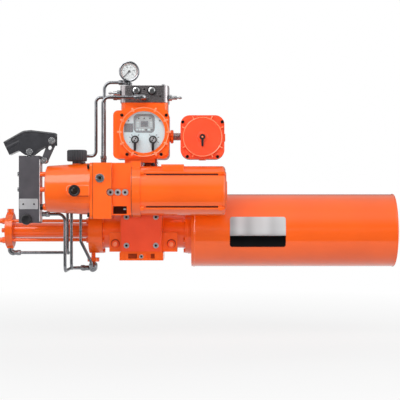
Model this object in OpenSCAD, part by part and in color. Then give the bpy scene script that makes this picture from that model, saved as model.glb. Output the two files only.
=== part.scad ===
// Electro-hydraulic quarter-turn actuator with spring return. Lengths in millimetres.
// The origin is the middle of the face that bolts to the valve, +Z runs up the drive axis
// and +X runs along the spring can. The control window faces -Y.

/* [Valve flange] */
// Side of the square flange that bolts to the valve
flange_w = 142; // [138:1:156]
// Thickness of that flange
flange_t = 26; // [24:1:32]
// Bolt circle of the valve flange
bolt_pcd = 125; // [120:1:132]
// Diameter of the tapped holes in the flange
bolt_hole_d = 10.2; // [8.5:0.1:12]
// Depth of the tapped holes
bolt_hole_depth = 20; // [14:1:22]
// Diameter of the locating recess round the stem
spigot_d = 85; // [75:1:90]
// Depth of the locating recess
spigot_depth = 4; // [2:0.5:6]

/* [Yoke drive] */
// Diameter of the bore that takes the valve stem
bore_d = 36; // [28:1:38]
// Depth of that bore
bore_depth = 64; // [40:1:80]
// Width of the keyway in the bore
key_w = 10; // [6:1:12]
// Depth of the keyway beyond the bore
key_h = 3.3; // [2:0.1:4]
// Diameter of the yoke hub
hub_d = 52; // [50:1:53]
// Distance from the drive axis to the rod axis
yoke_arm = 45; // [44:1:48]
// Height of the rod axis above the valve flange
rod_z = 95; // [93:1:98]
// Thickness of each yoke arm
arm_t = 12; // [9:0.5:13]
// Diameter of the rod that joins piston, block and spring plate
rod_d = 22; // [18:1:24]
// Diameter of the bar that guides the block
guide_d = 16; // [12:1:18]
// Diameter of the rollers on the drive pin
roller_d = 18; // [15:1:18]
// Height of the sliding block
slider_h = 36; // [34:1:38]

/* [Yoke housing] */
// Length of the housing box along the rod
housing_w = 134; // [132:1:142]
// Distance from the drive axis to the front of the box
housing_front = 72; // [70:1:76]
// Height of the box top above the valve flange
housing_top = 166; // [164:1:176]
// Wall thickness of the box
housing_wall = 10; // [8:1:10]
// Thickness of the front and top walls
thick_wall = 14; // [12:1:15]
// Outside diameter of the round necks
neck_d = 117; // [114:1:118]
// Bore of the necks
neck_bore_d = 100; // [98:1:104]
// Length of the left neck
left_neck = 64; // [60:1:90]
// Length of the right neck
right_neck = 74; // [72:1:80]
// Diameter of the neck flanges
neck_flange_d = 152; // [150:1:160]
// Thickness of the left neck flange
neck_flange_t = 23; // [18:1:28]
// Thickness of the right neck flange
right_flange_t = 8; // [7:1:10]
// Thickness of the square front cover
cover_t = 10; // [8:1:14]
// Side of the front cover
cover_w = 130; // [126:1:131]

/* [Hydraulic cylinder] */
// Thickness of the cylinder head
head_t = 23; // [22:1:30]
// Outside diameter of the barrel
barrel_d = 50; // [48:1:52]
// Bore of the barrel
barrel_bore = 40; // [36:1:42]
// Visible length of the barrel
barrel_l = 253; // [235:1:280]
// Diameter of the end cap
end_cap_d = 111; // [108:1:120]
// Thickness of the end cap
end_cap_t = 24; // [22:1:32]
// Diameter of the tie rods
tie_d = 10; // [8:1:12]
// Distance between tie rods
tie_pitch = 63; // [60:1:66]

/* [Spring can] */
// Outside diameter of the spring can
can_d = 240; // [230:1:260]
// Length of the spring can
can_length = 673; // [640:1:720]
// Wall of the spring can
can_wall = 5; // [4:0.5:8]
// Thickness of the flange that joins can and housing
can_flange_t = 12; // [11:1:16]
// Mean diameter of the spring
spring_d = 170; // [150:1:176]
// Diameter of the spring wire
wire_d = 16; // [12:1:18]
// Number of turns of the spring
spring_turns = 13; // [10:1:14]

/* [Power unit] */
// Clear space between the front cover and the manifold block
power_gap = 12; // [11:1:16]
// Height of the motor axis above the housing top
power_rise = 59; // [58:1:66]
// Position of the face between manifold block and motor along X
power_x = -26; // [-32:1:-24]
// Depth of the manifold block, front to back
block_depth = 140; // [136:1:150]
// Height of the manifold block
block_h = 175; // [170:1:186]
// Length of the full-depth half of the block
block_l = 58; // [54:1:66]
// Length of the stepped half of the block
step_l = 59; // [57:1:66]
// How far the stepped half is set back
step_in = 24; // [18:1:26]
// Length of the reservoir without its flange
reservoir_l = 141; // [134:1:160]
// Diameter of the reservoir at its flange
reservoir_d = 164; // [160:1:168]
// Diameter of the reservoir at its far end
reservoir_end_d = 146; // [140:1:150]
// Wall of the reservoir
reservoir_wall = 6; // [5:0.5:9]
// Diameter of the filler cap
filler_d = 63; // [56:1:66]
// Thickness of the adapter between block and motor
adapter_t = 30; // [28:1:36]
// Diameter of the adapter
adapter_d = 168; // [164:1:174]
// Diameter of the motor housing
motor_d = 156; // [152:1:160]
// Length of the motor housing
motor_l = 252; // [240:1:280]
// Thickness of the motor end cover
motor_end_t = 14; // [14:1:20]
// Diameter of the motor shaft
shaft_d = 20; // [16:1:22]
// Width of the pump gears
gear_w = 26; // [20:1:28]
// Module of the pump gear teeth
gear_m = 2.67; // [2.5:0.01:2.8]
// Number of teeth on each pump gear
gear_teeth = 12; // [12:1:12]

/* [Hand pump] */
// Width of the pump body along X
pump_w = 64; // [62:1:70]
// Depth of the pump body
pump_depth = 70; // [66:1:76]
// Height of the pump body
pump_h = 207; // [190:1:230]
// Diameter of the pump plunger
plunger_d = 24; // [20:1:26]
// Width of the hand lever
lever_w = 42; // [42:1:48]
// Bore of the socket for the pump handle
socket_d = 28; // [24:1:30]
// Depth of that socket
socket_depth = 48; // [36:1:50]
// Diameter of the linkage pins
pin_d = 10; // [8:1:11]

/* [Control head] */
// Height of the pedestal between housing and control head
pedestal_h = 162; // [158:1:176]
// Width of the control housing
control_w = 178; // [174:1:186]
// Depth of the control housing
control_depth = 140; // [134:1:150]
// Height of the control housing
control_h = 155; // [153:1:166]
// Distance from the drive axis to the front of the control housing
control_front = 120; // [116:1:126]
// Radius of the control cover
control_r = 80; // [78:1:82]
// Thickness of the control cover
control_cover_t = 28; // [26:1:34]
// Radius of the round window
window_r = 66.5; // [64:0.5:67]
// Height of the collar on top of the control housing
collar_h = 25; // [20:1:32]
// Diameter of the selector hubs
selector_d = 25; // [22:1:28]
// Length of the selector pointers from their axis
selector_l = 36; // [30:1:37]

/* [Junction box] */
// Side of the junction box
junction_w = 142; // [138:1:150]
// Depth of the junction box behind its cover
junction_depth = 78; // [70:1:90]
// Radius of the raised disc on the cover
junction_r = 65; // [62:1:66]
// Gap between control housing and junction box
junction_gap = 37; // [34:1:44]
// Diameter of the conduit between the boxes
conduit_d = 25; // [22:1:28]
// Diameter of the cable entry thread
entry_d = 20; // [16:1:22]

/* [Top manifold] */
// Width of the top manifold
top_w = 156; // [150:1:164]
// Depth of the top manifold
top_depth = 106; // [100:1:116]
// Height of the top manifold
top_h = 55; // [53:1:64]
// Outside diameter of the pressure gauge
gauge_d = 64; // [60:1:68]
// Depth of the pressure gauge
gauge_t = 28; // [26:1:32]

/* [Tubes and fasteners] */
// Outside diameter of the hydraulic tubes
tube_d = 10; // [9:0.5:11]
// Wall of the hydraulic tubes
tube_wall = 1.5; // [1:0.25:2]
// Bend radius of the tubes
bend_r = 22; // [20:1:24]
// Thread diameter of the flange bolts
bolt_d = 8; // [7:1:9]
// Head diameter of the front cover screws
screw_head_d = 18; // [16:1:19]

/* [Fits] */
// Radial clearance of a part that turns or slides
run_gap = 0.05; // [0.02:0.01:0.09]
// Radial clearance of a part that is seated and held
seat_gap = 0.05; // [0.02:0.01:0.1]
// Radial clearance of screws in their holes
hole_gap = 0.1; // [0.05:0.05:0.3]

/* [Hidden] */
$fn = 64;

orange = "#f2662a";
black = "#26272a";
dark_steel = "#4a4742";
steel = "#b9bcc0";
anthracite = "#3c4043";
pale_grey = "#cfd3d2";
iron = "#6a6d70";

rod_y = yoke_arm;
stroke = 2 * yoke_arm;
box_x = housing_w / 2;
housing_back = rod_y + neck_d / 2;
left_face = -(box_x + left_neck + neck_flange_t);
right_face = box_x + right_neck + right_flange_t;
neck_bolt_r = (neck_d + neck_flange_d) / 4;
pilot_l = 8;
hub_z = spigot_depth + 2;
bush_d = hub_d + 10;
slider_l = 40;
slider_back = 38;
slider_front = 16;
guide_y = rod_y + 28;
roller_gap = 0.5;
arm_z = slider_h / 2 + roller_gap;
slot_half = roller_d / 2 + 4;
slot_start = yoke_arm - 1;
slot_end = yoke_arm * sqrt(2) + 2;
arm_half = slot_half + 6.5;
lug_w = 39;
lug_step = 10;
lug_x = box_x + 19.5;
flange_front = max(flange_w / 2, housing_front);
lug_front = 40;
lug_z = 27;
lug_h = 63;
stop_z = 52;

head_x = left_face - head_t;
barrel_x = head_x - barrel_l;
cap_x = barrel_x - end_cap_t;
socket_l = 8;
tie_seat = 14;
piston_t = 30;
piston_x = barrel_x + 14;
port_x = head_x + head_t / 2;
port_z = -9;
port_disc_t = 13;
cap_port_x = cap_x + end_cap_t / 2;
cap_port_z = rod_z - end_cap_d / 2 - 4;

can_x = right_face + can_flange_t;
can_end = can_x + can_length;
can_flange_d = neck_flange_d + 4;
can_plate_t = 12;
can_inner_end = can_end - 14;
plate_t = 14;
plate_x = can_x + can_plate_t + 4;
rod_end = plate_x + plate_t;

hpu_y = -(housing_front + cover_t + power_gap + block_depth / 2);
hpu_z = housing_top + power_rise;
step_x = power_x - step_l;
block_x = step_x - block_l;
block_front = hpu_y - block_depth / 2;
block_back = hpu_y + block_depth / 2;
step_front = block_front + step_in;
block_z = hpu_z - block_h / 2;
block_top = block_z + block_h;
step_z = block_z + 11;
gear_r = gear_m * gear_teeth / 2;
gear_pitch = 2 * gear_r;
gear_outer = gear_r + gear_m;
gear_x = power_x - gear_w - 0.3;
journal_r = 6;
res_flange_t = 10;
res_x = block_x - res_flange_t;
res_end = res_x - reservoir_l;
res_z = hpu_z + 6;
oil_bore_r = block_depth / 2 - 6;
filler_x = res_x - 46;
filler_z = res_z + barrel_taper(filler_x) + 1;
filler_stub_d = 20;
sight_front = hpu_y - reservoir_d / 2 + 1;
motor_x = power_x + adapter_t;
motor_end = motor_x + motor_l;
tie_bolt_r = motor_d / 2 + 1;
left_bearing_d = 44;
right_bearing_d = 36;
bearing_w = 12;
rotor_r = 40;
stator_x = motor_x + 56;
stator_l = 130;

pump_gap = 20;
pump_r = res_end - pump_gap;
pump_x = pump_r - pump_w;
pump_z = hpu_z - 101;
pump_top = pump_z + pump_h;
plunger_x = pump_x + pump_w / 2;
p1 = [plunger_x, pump_top + 16];
p2 = [plunger_x + 70, pump_top + 51];
p3 = [plunger_x + 45, pump_top - 10];
plunger_l = 110;
filler_cap_h = 27;
filler_collar = 7;
link_half = 14.4;
ear_half = 8;
channel_half = link_half + 0.4;
eye_half = 8;
pump_bolt_y = 22;
pump_bolt_z = [hpu_z + 4, hpu_z + 52];
knob_x = plunger_x - 7;
knob_z = pump_z + 11;
knob_d = 34;
pump_front = hpu_y - pump_depth / 2;
pump_port_z = pump_z + 27;
pump_port_y = hpu_y + 26;

control_z = housing_top + pedestal_h;
foot_w = 132;
foot_depth = 126;
foot_t = 14;
post_w = 96;
post_depth = 100;
seat_x = -52;
seat_w = 97;
stay_x = -62;
seat_depth = 118;
seat_t = 12;
control_top = control_z + control_h;
control_x = 1;
dial_x = control_x + 11;
dial_z = control_z + 84;
lug_angles = [37.5, 142.5, 232.5, 307.5];
control_lug_r = control_r + 9;
control_plate_t = 18;
control_pocket = 2 * window_r - 5;
cover_screw_d = 6;
cover_front = -(control_front + control_cover_t);
lip_y = cover_front + 8;
glass_t = 5;
selector_x = 28.5;
selector_z = dial_z - 24;
collar_top = control_top + collar_h;

jbox_x = control_x + control_w / 2 + junction_gap;
jbox_mid = jbox_x + junction_w / 2;
jbox_z = control_z + 71;
jbox_back = -5;
jbox_front = jbox_back - junction_depth;
jcover_t = 12;
jdisc_t = 8;
junction_lug_r = junction_r + 15;
nipple_y = -50;
nipple_z = jbox_z + 3;

top_x = dial_x;
top_front = -control_front;
top_z = collar_top;
top_top = top_z + top_h;
gauge_x = top_x - 49;
gauge_y = top_front + 15;
gauge_z = top_top + 45;
gauge_front = gauge_y - gauge_t / 2;
tee_z = top_top + 10;
tee_l = 21;
cap_places = [-26, 24];

fit_body = 12;
fit_nut = 14;
tube_id = tube_d - 2 * tube_wall;

module along_x(x, y, z) {
  translate([x, y, z]) rotate([0, 90, 0]) children();
}

module against_x(x, y, z) {
  translate([x, y, z]) rotate([0, -90, 0]) children();
}

module facing_front(x, y, z) {
  translate([x, y, z]) rotate([90, 0, 0]) children();
}

module facing_back(x, y, z) {
  translate([x, y, z]) rotate([-90, 0, 0]) children();
}

module round_rect(w, h, r) {
  square([w - 2 * r, h], center = true);
  square([w, h - 2 * r], center = true);
  for (sx = [-1, 1], sy = [-1, 1]) translate([sx * (w / 2 - r), sy * (h / 2 - r)]) circle(r);
}

module ring(od, id, h) {
  linear_extrude(h) difference() {
    circle(d = od);
    circle(d = id);
  }
}

function unit(v) = v / norm(v);

// Straight and bent lengths of tube that follow a route with square corners
module bent_tube(p, r) {
  n = len(p);
  for (i = [0:n - 2]) {
    u = unit(p[i + 1] - p[i]);
    a = i == 0 ? p[i] : p[i] + r * u;
    b = i == n - 2 ? p[i + 1] : p[i + 1] - r * u;
    translate(a) rotate([0, acos(u[2]), atan2(u[1], u[0])]) ring(tube_d, tube_id, norm(b - a));
  }
  for (i = [1:n - 2]) {
    u = unit(p[i - 1] - p[i]);
    v = unit(p[i + 1] - p[i]);
    c = p[i] + r * (u + v);
    w = cross(-v, -u);
    multmatrix([[-v[0], -u[0], w[0], c[0]], [-v[1], -u[1], w[1], c[1]],
                [-v[2], -u[2], w[2], c[2]], [0, 0, 0, 1]])
      rotate_extrude(angle = 90) translate([r, 0]) difference() {
        circle(d = tube_d);
        circle(d = tube_id);
      }
  }
}

// Socket screw with its head on +Z and its shank on -Z
module socket_screw(d, head_d, head_h, grip) {
  difference() {
    union() {
      cylinder(d = head_d, h = head_h);
      translate([0, 0, -grip]) cylinder(d = d, h = grip);
    }
    translate([0, 0, head_h * 0.45]) cylinder(d = d * 0.9, h = head_h, $fn = 6);
  }
}

// Hexagon bolt with its head on +Z and its shank on -Z
module hex_bolt(d, grip) {
  cylinder(r = 0.93 * d, h = 0.7 * d, $fn = 6);
  translate([0, 0, -grip]) cylinder(d = d, h = grip);
}

module screw_hole(d, depth) {
  translate([0, 0, -depth]) cylinder(d = d + 2 * hole_gap, h = depth + 1);
}

// Compression fitting that stands on a port face and grips a tube end
module fitting(body = fit_body) {
  if (body > 0) cylinder(r = 0.85 * tube_d, h = body, $fn = 6);
  translate([0, 0, body]) difference() {
    cylinder(r = tube_d, h = fit_nut, $fn = 6);
    translate([0, 0, -1]) cylinder(d = tube_d + 2 * hole_gap, h = fit_nut + 2);
  }
}

module at_neck_bolts() {
  for (a = [30:60:330])
    translate([0, rod_y + neck_bolt_r * cos(a), rod_z + neck_bolt_r * sin(a)]) children();
}

module at_cover_screws() {
  for (sx = [-1, 1], sz = [-1, 1])
    facing_front(sx * 47.5, -housing_front - cover_t, rod_z + sz * 46) children();
}

module at_stop_bolts() {
  for (x = [-lug_x, lug_x + lug_step]) facing_front(x, -lug_front, stop_z) children();
}

module at_tie_rods() {
  for (sy = [-1, 1], sz = [-1, 1])
    translate([0, rod_y + sy * tie_pitch / 2, rod_z + sz * tie_pitch / 2]) children();
}

module at_reservoir_screws() {
  for (sy = [-1, 1], sz = [-1, 1])
    against_x(res_x, hpu_y + sy * (block_depth / 2 - 12), hpu_z + sz * (block_h / 2 - 12)) children();
}

module at_block_screws() {
  for (x = [-90, -67, -44]) facing_front(power_x + 26 + x, step_front + 4, hpu_z - 5) children();
}

module at_pump_bolts() {
  for (sy = [-1, 1], z = pump_bolt_z) against_x(pump_x, hpu_y + sy * pump_bolt_y, z) children();
}

module at_pedestal_bolts() {
  for (sx = [-1, 1], y = [-36, 50]) translate([sx * 57, y, housing_top + 14]) children();
}

module at_control_screws() {
  for (a = lug_angles)
    facing_front(dial_x + control_lug_r * cos(a), -control_front - control_plate_t,
                 dial_z + control_lug_r * sin(a)) children();
}

module at_junction_screws() {
  for (a = lug_angles)
    facing_front(jbox_mid + junction_lug_r * cos(a), jbox_front - jcover_t,
                 jbox_z + junction_lug_r * sin(a)) children();
}

module at_motor_ties() {
  for (a = [45:90:315])
    along_x(0, hpu_y + tie_bolt_r * cos(a), hpu_z + tie_bolt_r * sin(a)) children();
}

module yoke_housing() color(orange) difference() {
  union() {
    translate([-flange_w / 2, -flange_w / 2, 0]) cube([flange_w, flange_w, flange_t]);
    translate([-box_x, -housing_front, 0]) cube([housing_w, housing_front + housing_back, housing_top]);
    along_x(left_face, rod_y, rod_z) cylinder(d = neck_d, h = right_face - left_face);
    along_x(left_face, rod_y, rod_z) cylinder(d = neck_flange_d, h = neck_flange_t);
    along_x(right_face - right_flange_t, rod_y, rod_z) cylinder(d = neck_flange_d, h = right_flange_t);
    translate([-box_x - lug_w, -lug_front, lug_z]) cube([lug_w, lug_front + rod_y, lug_h]);
    translate([box_x, -lug_front, lug_z]) cube([lug_w + lug_step, lug_front + rod_y, lug_h]);
  }
  translate([-box_x + housing_wall, -housing_front + thick_wall, flange_t])
    cube([housing_w - 2 * housing_wall, housing_front + housing_back - thick_wall - housing_wall,
          housing_top - thick_wall - flange_t]);
  facing_front(0, -housing_front + thick_wall + 1, rod_z) cylinder(r = 54, h = thick_wall + 2);
  along_x(left_face - 1, rod_y, rod_z) cylinder(d = neck_bore_d, h = right_face - left_face + 2);
  translate([0, 0, -1]) cylinder(d = spigot_d, h = spigot_depth + 1);
  cylinder(d = bush_d, h = housing_top + 1);
  for (a = [45:90:315]) rotate(a) translate([bolt_pcd / 2, 0, -1])
    cylinder(d = bolt_hole_d, h = bolt_hole_depth + 1);
  for (s = [-1, 1]) translate([s * 28.5 - 14.5, -flange_front - 1, 6]) cube([29, 10, flange_t - 10]);
  facing_front(0, -flange_front, flange_t / 2) screw_hole(bolt_d, 20);
  at_cover_screws() screw_hole(bolt_d, cover_t + 12);
  at_stop_bolts() screw_hole(bolt_d + 4, 30);
  at_pedestal_bolts() screw_hole(bolt_d, 24);
  at_neck_bolts() along_x(left_face - 1, 0, 0) cylinder(d = bolt_d + 2 * hole_gap, h = neck_flange_t + 2);
  at_neck_bolts() along_x(right_face - right_flange_t - 1, 0, 0)
    cylinder(d = bolt_d + 2 * hole_gap, h = right_flange_t + 2);
}

module front_cover() color(orange) difference() {
  union() {
    facing_front(0, -housing_front, rod_z) linear_extrude(cover_t) round_rect(cover_w, cover_w, 5);
    facing_back(0, -housing_front, rod_z) cylinder(r = 54 - 0.2, h = 6);
  }
  at_cover_screws() screw_hole(bolt_d, cover_t + 1);
}

module stem_bushes() color("#a8803c") {
  translate([0, 0, hub_z]) ring(bush_d - 2 * seat_gap, hub_d + 2 * run_gap, flange_t - hub_z);
  translate([0, 0, housing_top - thick_wall])
    ring(bush_d - 2 * seat_gap, hub_d + 2 * run_gap, thick_wall);
}

module guide_bar() color(steel) along_x(left_face - 5, guide_y, rod_z)
  cylinder(d = guide_d, h = right_face - left_face + 10);

module hex_bolts() color(steel) {
  at_neck_bolts() along_x(left_face + neck_flange_t, 0, 0) hex_bolt(bolt_d, neck_flange_t + 14);
  at_neck_bolts() against_x(right_face - right_flange_t, 0, 0) hex_bolt(bolt_d, right_flange_t + 9);
  at_stop_bolts() hex_bolt(bolt_d + 4, 26);
  at_pump_bolts() hex_bolt(bolt_d, pump_w + pump_gap);
  at_pedestal_bolts() hex_bolt(bolt_d, 22);
  against_x(cap_x, rod_y, rod_z) hex_bolt(bolt_d + 4, piston_x - cap_x - 0.3);
  against_x(cap_x, rod_y, rod_z) cylinder(d = bolt_d + 7, h = 17);
}

module cap_screws() color(steel) {
  at_cover_screws() socket_screw(bolt_d, screw_head_d, 7, cover_t + 10);
  at_control_screws() socket_screw(cover_screw_d, 10, 6, 26);
  at_junction_screws() socket_screw(cover_screw_d, 10, 6, 24);
  at_reservoir_screws() socket_screw(bolt_d, 14, 8, 24);
  at_block_screws() socket_screw(bolt_d, 20, 6, 20);
  facing_front(0, -flange_front, flange_t / 2) socket_screw(bolt_d, 13, 6, 18);
}

module cylinder_head() color(orange) difference() {
  union() {
    along_x(head_x, rod_y, rod_z) cylinder(d = neck_flange_d, h = head_t);
    along_x(left_face, rod_y, rod_z) cylinder(d = neck_bore_d - 2 * hole_gap, h = pilot_l);
    translate([port_x, rod_y, port_z]) cylinder(r = 7, h = rod_z - neck_d / 2 - port_z);
    translate([port_x, rod_y, port_z]) cylinder(r = 20, h = port_disc_t);
  }
  along_x(head_x - 1, rod_y, rod_z) cylinder(d = rod_d + 2 * run_gap, h = head_t + pilot_l + 2);
  along_x(head_x - 1, rod_y, rod_z) cylinder(d = barrel_d + 2 * seat_gap, h = socket_l + 1);
  along_x(left_face - 6, guide_y, rod_z) cylinder(d = guide_d + 2 * seat_gap, h = pilot_l + 7);
  at_tie_rods() along_x(head_x - 1, 0, 0) cylinder(d = tie_d + 2 * hole_gap, h = tie_seat + 2);
  at_neck_bolts() along_x(left_face - 15, 0, 0) cylinder(d = bolt_d + 2 * hole_gap, h = 16);
}

module cylinder_barrel() color("#d9a15c") along_x(barrel_x - socket_l, rod_y, rod_z)
  ring(barrel_d, barrel_bore, barrel_l + 2 * socket_l);

module cylinder_end_cap() color(orange) difference() {
  union() {
    along_x(cap_x, rod_y, rod_z) cylinder(d = end_cap_d, h = end_cap_t);
    translate([cap_port_x - 11, rod_y - 11, cap_port_z]) cube([22, 22, end_cap_d + 8]);
  }
  along_x(barrel_x - socket_l, rod_y, rod_z) cylinder(d = barrel_d + 2 * seat_gap, h = socket_l + 1);
  along_x(cap_x - 1, rod_y, rod_z) cylinder(d = bolt_d + 4 + 2 * hole_gap, h = end_cap_t);
  at_tie_rods() along_x(cap_x - 1, 0, 0) cylinder(d = tie_d + 2 * hole_gap, h = end_cap_t + 2);
}

// Rods with a domed nut on the left and a plain nut against the cylinder head
module cylinder_tie_rods() color(steel) at_tie_rods() {
  along_x(cap_x - 14, 0, 0) cylinder(d = tie_d, h = head_x + tie_seat - cap_x + 14);
  against_x(cap_x, 0, 0) difference() {
    union() {
      cylinder(r = 1.05 * tie_d, h = 10, $fn = 6);
      cylinder(r = 0.85 * tie_d, h = 18);
    }
    translate([0, 0, -1]) cylinder(d = tie_d + 2 * hole_gap, h = 15.2);
  }
  against_x(head_x, 0, 0) difference() {
    cylinder(r = 0.9 * tie_d, h = 9, $fn = 6);
    translate([0, 0, -1]) cylinder(d = tie_d + 2 * hole_gap, h = 11);
  }
}

module hex_plugs() color(dark_steel) {
  translate([cap_port_x, rod_y, rod_z + end_cap_d / 2 + 4]) cylinder(r = 11, h = 12, $fn = 6);
  facing_front(block_x + 22, block_front, hpu_z + 39) difference() {
    cylinder(d = 28, h = 5);
    translate([0, 0, 1.5]) cylinder(d = 13, h = 5, $fn = 6);
  }
  translate([top_x + 60, gauge_y, top_top]) cylinder(r = 5.5, h = 5, $fn = 6);
}

module spring_can() color(orange) difference() {
  along_x(can_x, rod_y, rod_z) cylinder(d = can_d, h = can_length);
  along_x(can_x + can_plate_t, rod_y, rod_z)
    cylinder(d = can_d - 2 * can_wall, h = can_inner_end - can_x - can_plate_t);
  along_x(can_x - 1, rod_y, rod_z) cylinder(d = rod_d + 10, h = can_plate_t + 2);
  along_x(can_end - 4, rod_y, rod_z) cylinder(d = can_d - 2 * can_wall, h = 5);
}

module spring_can_flange() color(orange) difference() {
  union() {
    along_x(right_face, rod_y, rod_z) cylinder(d = can_flange_d, h = can_flange_t);
    along_x(right_face - pilot_l, rod_y, rod_z) cylinder(d = neck_bore_d - 2 * hole_gap, h = pilot_l);
  }
  along_x(right_face - pilot_l - 1, rod_y, rod_z)
    cylinder(d = rod_d + 10, h = can_flange_t + pilot_l + 2);
  along_x(right_face - pilot_l - 1, guide_y, rod_z)
    cylinder(d = guide_d + 2 * seat_gap, h = pilot_l + 7);
  at_neck_bolts() along_x(right_face - 1, 0, 0) cylinder(d = bolt_d + 2 * hole_gap, h = 11);
}

module manifold_block() color(orange) difference() {
  union() {
    translate([block_x, block_front, block_z]) cube([block_l, block_depth, block_h]);
    translate([step_x - 1, step_front, step_z])
      cube([step_l + 1, block_back - step_front, block_top - step_z]);
  }
  translate([step_x + 4, step_front - 1, step_z + 4]) cube([42, 33, 24]);
  facing_front(power_x + 26 - 67, step_front + 4, hpu_z - 5) linear_extrude(5 + step_in)
    round_rect(68, 24, 11.9);
  for (dz = [0, gear_pitch]) along_x(gear_x - 0.2, hpu_y, hpu_z - dz)
    cylinder(r = gear_outer + 0.3, h = gear_w + 2);
  along_x(gear_x - 14, hpu_y, hpu_z) cylinder(d = shaft_d + 2 * run_gap, h = 20);
  along_x(gear_x - 14, hpu_y, hpu_z - gear_pitch) cylinder(r = journal_r + run_gap, h = 20);
  at_reservoir_screws() screw_hole(bolt_d, 28);
  at_block_screws() screw_hole(bolt_d, 22);
}

function barrel_taper(x) = reservoir_end_d / 2
  + (reservoir_d - reservoir_end_d) / 2 * (x - res_end) / reservoir_l;

module reservoir() color(orange) difference() {
  union() {
    against_x(block_x, hpu_y, hpu_z) linear_extrude(res_flange_t) round_rect(block_h, block_depth, 14);
    along_x(res_end, hpu_y, res_z) rotate_extrude() polygon([[0, 0], [reservoir_end_d / 2 - 6, 0],
      [reservoir_end_d / 2 - 1.5, 2], [reservoir_end_d / 2, 7], [reservoir_d / 2, reservoir_l + 1],
      [0, reservoir_l + 1]]);
    translate([filler_x, hpu_y, res_z]) cylinder(d = 30, h = filler_z - res_z);
    facing_front(filler_x, hpu_y, hpu_z) cylinder(d = 42, h = hpu_y - sight_front);
    translate([filler_x, sight_front, hpu_z - 18]) cube([res_x + 1 - filler_x, 30, 36]);
    translate([t3_down, hpu_y + 44, res_z]) cylinder(d = 24, h = t3_port - res_z);
    at_pump_bolts() translate([0, 0, -pump_w - pump_gap - 12]) cylinder(d = 14, h = pump_gap + 12);
  }
  along_x(res_end + 10, hpu_y, res_z) rotate_extrude() polygon([[0, 0],
    [reservoir_end_d / 2 - reservoir_wall - 1, 0], [reservoir_d / 2 - reservoir_wall - 2, reservoir_l - 10],
    [oil_bore_r, reservoir_l - 10], [oil_bore_r, reservoir_l + 1], [0, reservoir_l + 1]]);
  translate([filler_x, hpu_y, res_z]) cylinder(d = filler_stub_d + 2 * run_gap, h = filler_z - res_z + 1);
  facing_front(filler_x, hpu_y, hpu_z) cylinder(d = 26, h = reservoir_d);
  at_pump_bolts() screw_hole(bolt_d, pump_w + pump_gap + 2);
  at_reservoir_screws() screw_hole(bolt_d, res_flange_t + 1);
}

module sight_glass() color(black) {
  facing_front(filler_x, sight_front + 8, hpu_z) cylinder(d = 26 - 2 * hole_gap, h = 8);
  facing_front(filler_x, sight_front, hpu_z) cylinder(d = 36, h = 8);
}

module motor_adapter() color(orange) difference() {
  union() {
    along_x(power_x, hpu_y, hpu_z) cylinder(d = adapter_d, h = adapter_t);
    translate([power_x, hpu_y - 40, hpu_z]) cube([adapter_t, 80, block_h / 2 + 5]);
  }
  along_x(power_x - 1, hpu_y, hpu_z) cylinder(d = shaft_d + 2, h = adapter_t + 2);
  along_x(motor_x - bearing_w, hpu_y, hpu_z)
    cylinder(d = left_bearing_d + 2 * seat_gap, h = bearing_w + 1);
  along_x(power_x - 1, hpu_y, hpu_z - gear_pitch) cylinder(r = journal_r + run_gap, h = 12);
  at_motor_ties() translate([0, 0, motor_x - 11]) cylinder(d = bolt_d + 2 * hole_gap, h = 12);
}

module motor_housing() color(orange) difference() {
  union() {
    along_x(motor_x, hpu_y, hpu_z) cylinder(d = motor_d, h = motor_l);
    at_motor_ties() translate([0, 0, motor_x]) cylinder(d = 20, h = 12);
    at_motor_ties() translate([0, 0, motor_end - 9]) cylinder(d = 20, h = 12);
    translate([motor_x + 64, hpu_y - 30, hpu_z]) cube([71, 60, motor_d / 2 + 5]);
  }
  along_x(motor_x - 1, hpu_y, hpu_z) cylinder(d = motor_d - 16, h = motor_l + 2);
  at_motor_ties() translate([0, 0, motor_x - 1]) cylinder(d = bolt_d + 2 * hole_gap, h = motor_l + 12);
  at_motor_ties() translate([0, 0, motor_x + 12]) cylinder(d = bolt_d + 5, h = motor_l - 21);
}

module motor_end_cover() color(orange) difference() {
  along_x(motor_end, hpu_y, hpu_z) rotate_extrude() polygon([[0, 0], [motor_d / 2, 0],
    [motor_d / 2, motor_end_t - 8], [motor_d / 2 - 3, motor_end_t - 3], [motor_d / 2 - 10, motor_end_t],
    [0, motor_end_t]]);
  along_x(motor_end - 1, hpu_y, hpu_z)
    cylinder(d = right_bearing_d + 2 * seat_gap, h = bearing_w + 1);
  at_motor_ties() translate([0, 0, motor_end - 1]) cylinder(d = 20.4, h = motor_end_t + 2);
}

module motor_tie_bolts() color(steel) at_motor_ties() {
  translate([0, 0, motor_x - 10]) cylinder(d = bolt_d, h = motor_l + 13);
  translate([0, 0, motor_end + 3]) cylinder(r = 0.93 * bolt_d, h = 6, $fn = 6);
}

module motor_stator() color(iron) {
  along_x(stator_x, hpu_y, hpu_z) ring(motor_d - 16 - 2 * seat_gap, 2 * rotor_r + 1, stator_l);
  along_x(stator_x - 18, hpu_y, hpu_z) ring(motor_d - 26, 2 * rotor_r + 12, 18);
  along_x(stator_x + stator_l, hpu_y, hpu_z) ring(motor_d - 26, 2 * rotor_r + 12, 18);
}

module motor_bearings() color(steel) {
  along_x(motor_x - bearing_w, hpu_y, hpu_z) ring(left_bearing_d, shaft_d + 2 * run_gap, bearing_w);
  along_x(motor_end, hpu_y, hpu_z) ring(right_bearing_d, shaft_d - 4 + 2 * run_gap, bearing_w);
}

module motor_rotor() color(steel) {
  along_x(gear_x - 12, hpu_y, hpu_z) cylinder(d = shaft_d, h = motor_end - 2 - gear_x + 12);
  along_x(stator_x, hpu_y, hpu_z) cylinder(r = rotor_r, h = stator_l);
  along_x(motor_end - 3, hpu_y, hpu_z) cylinder(d = shaft_d - 4, h = bearing_w + 1);
}

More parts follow.
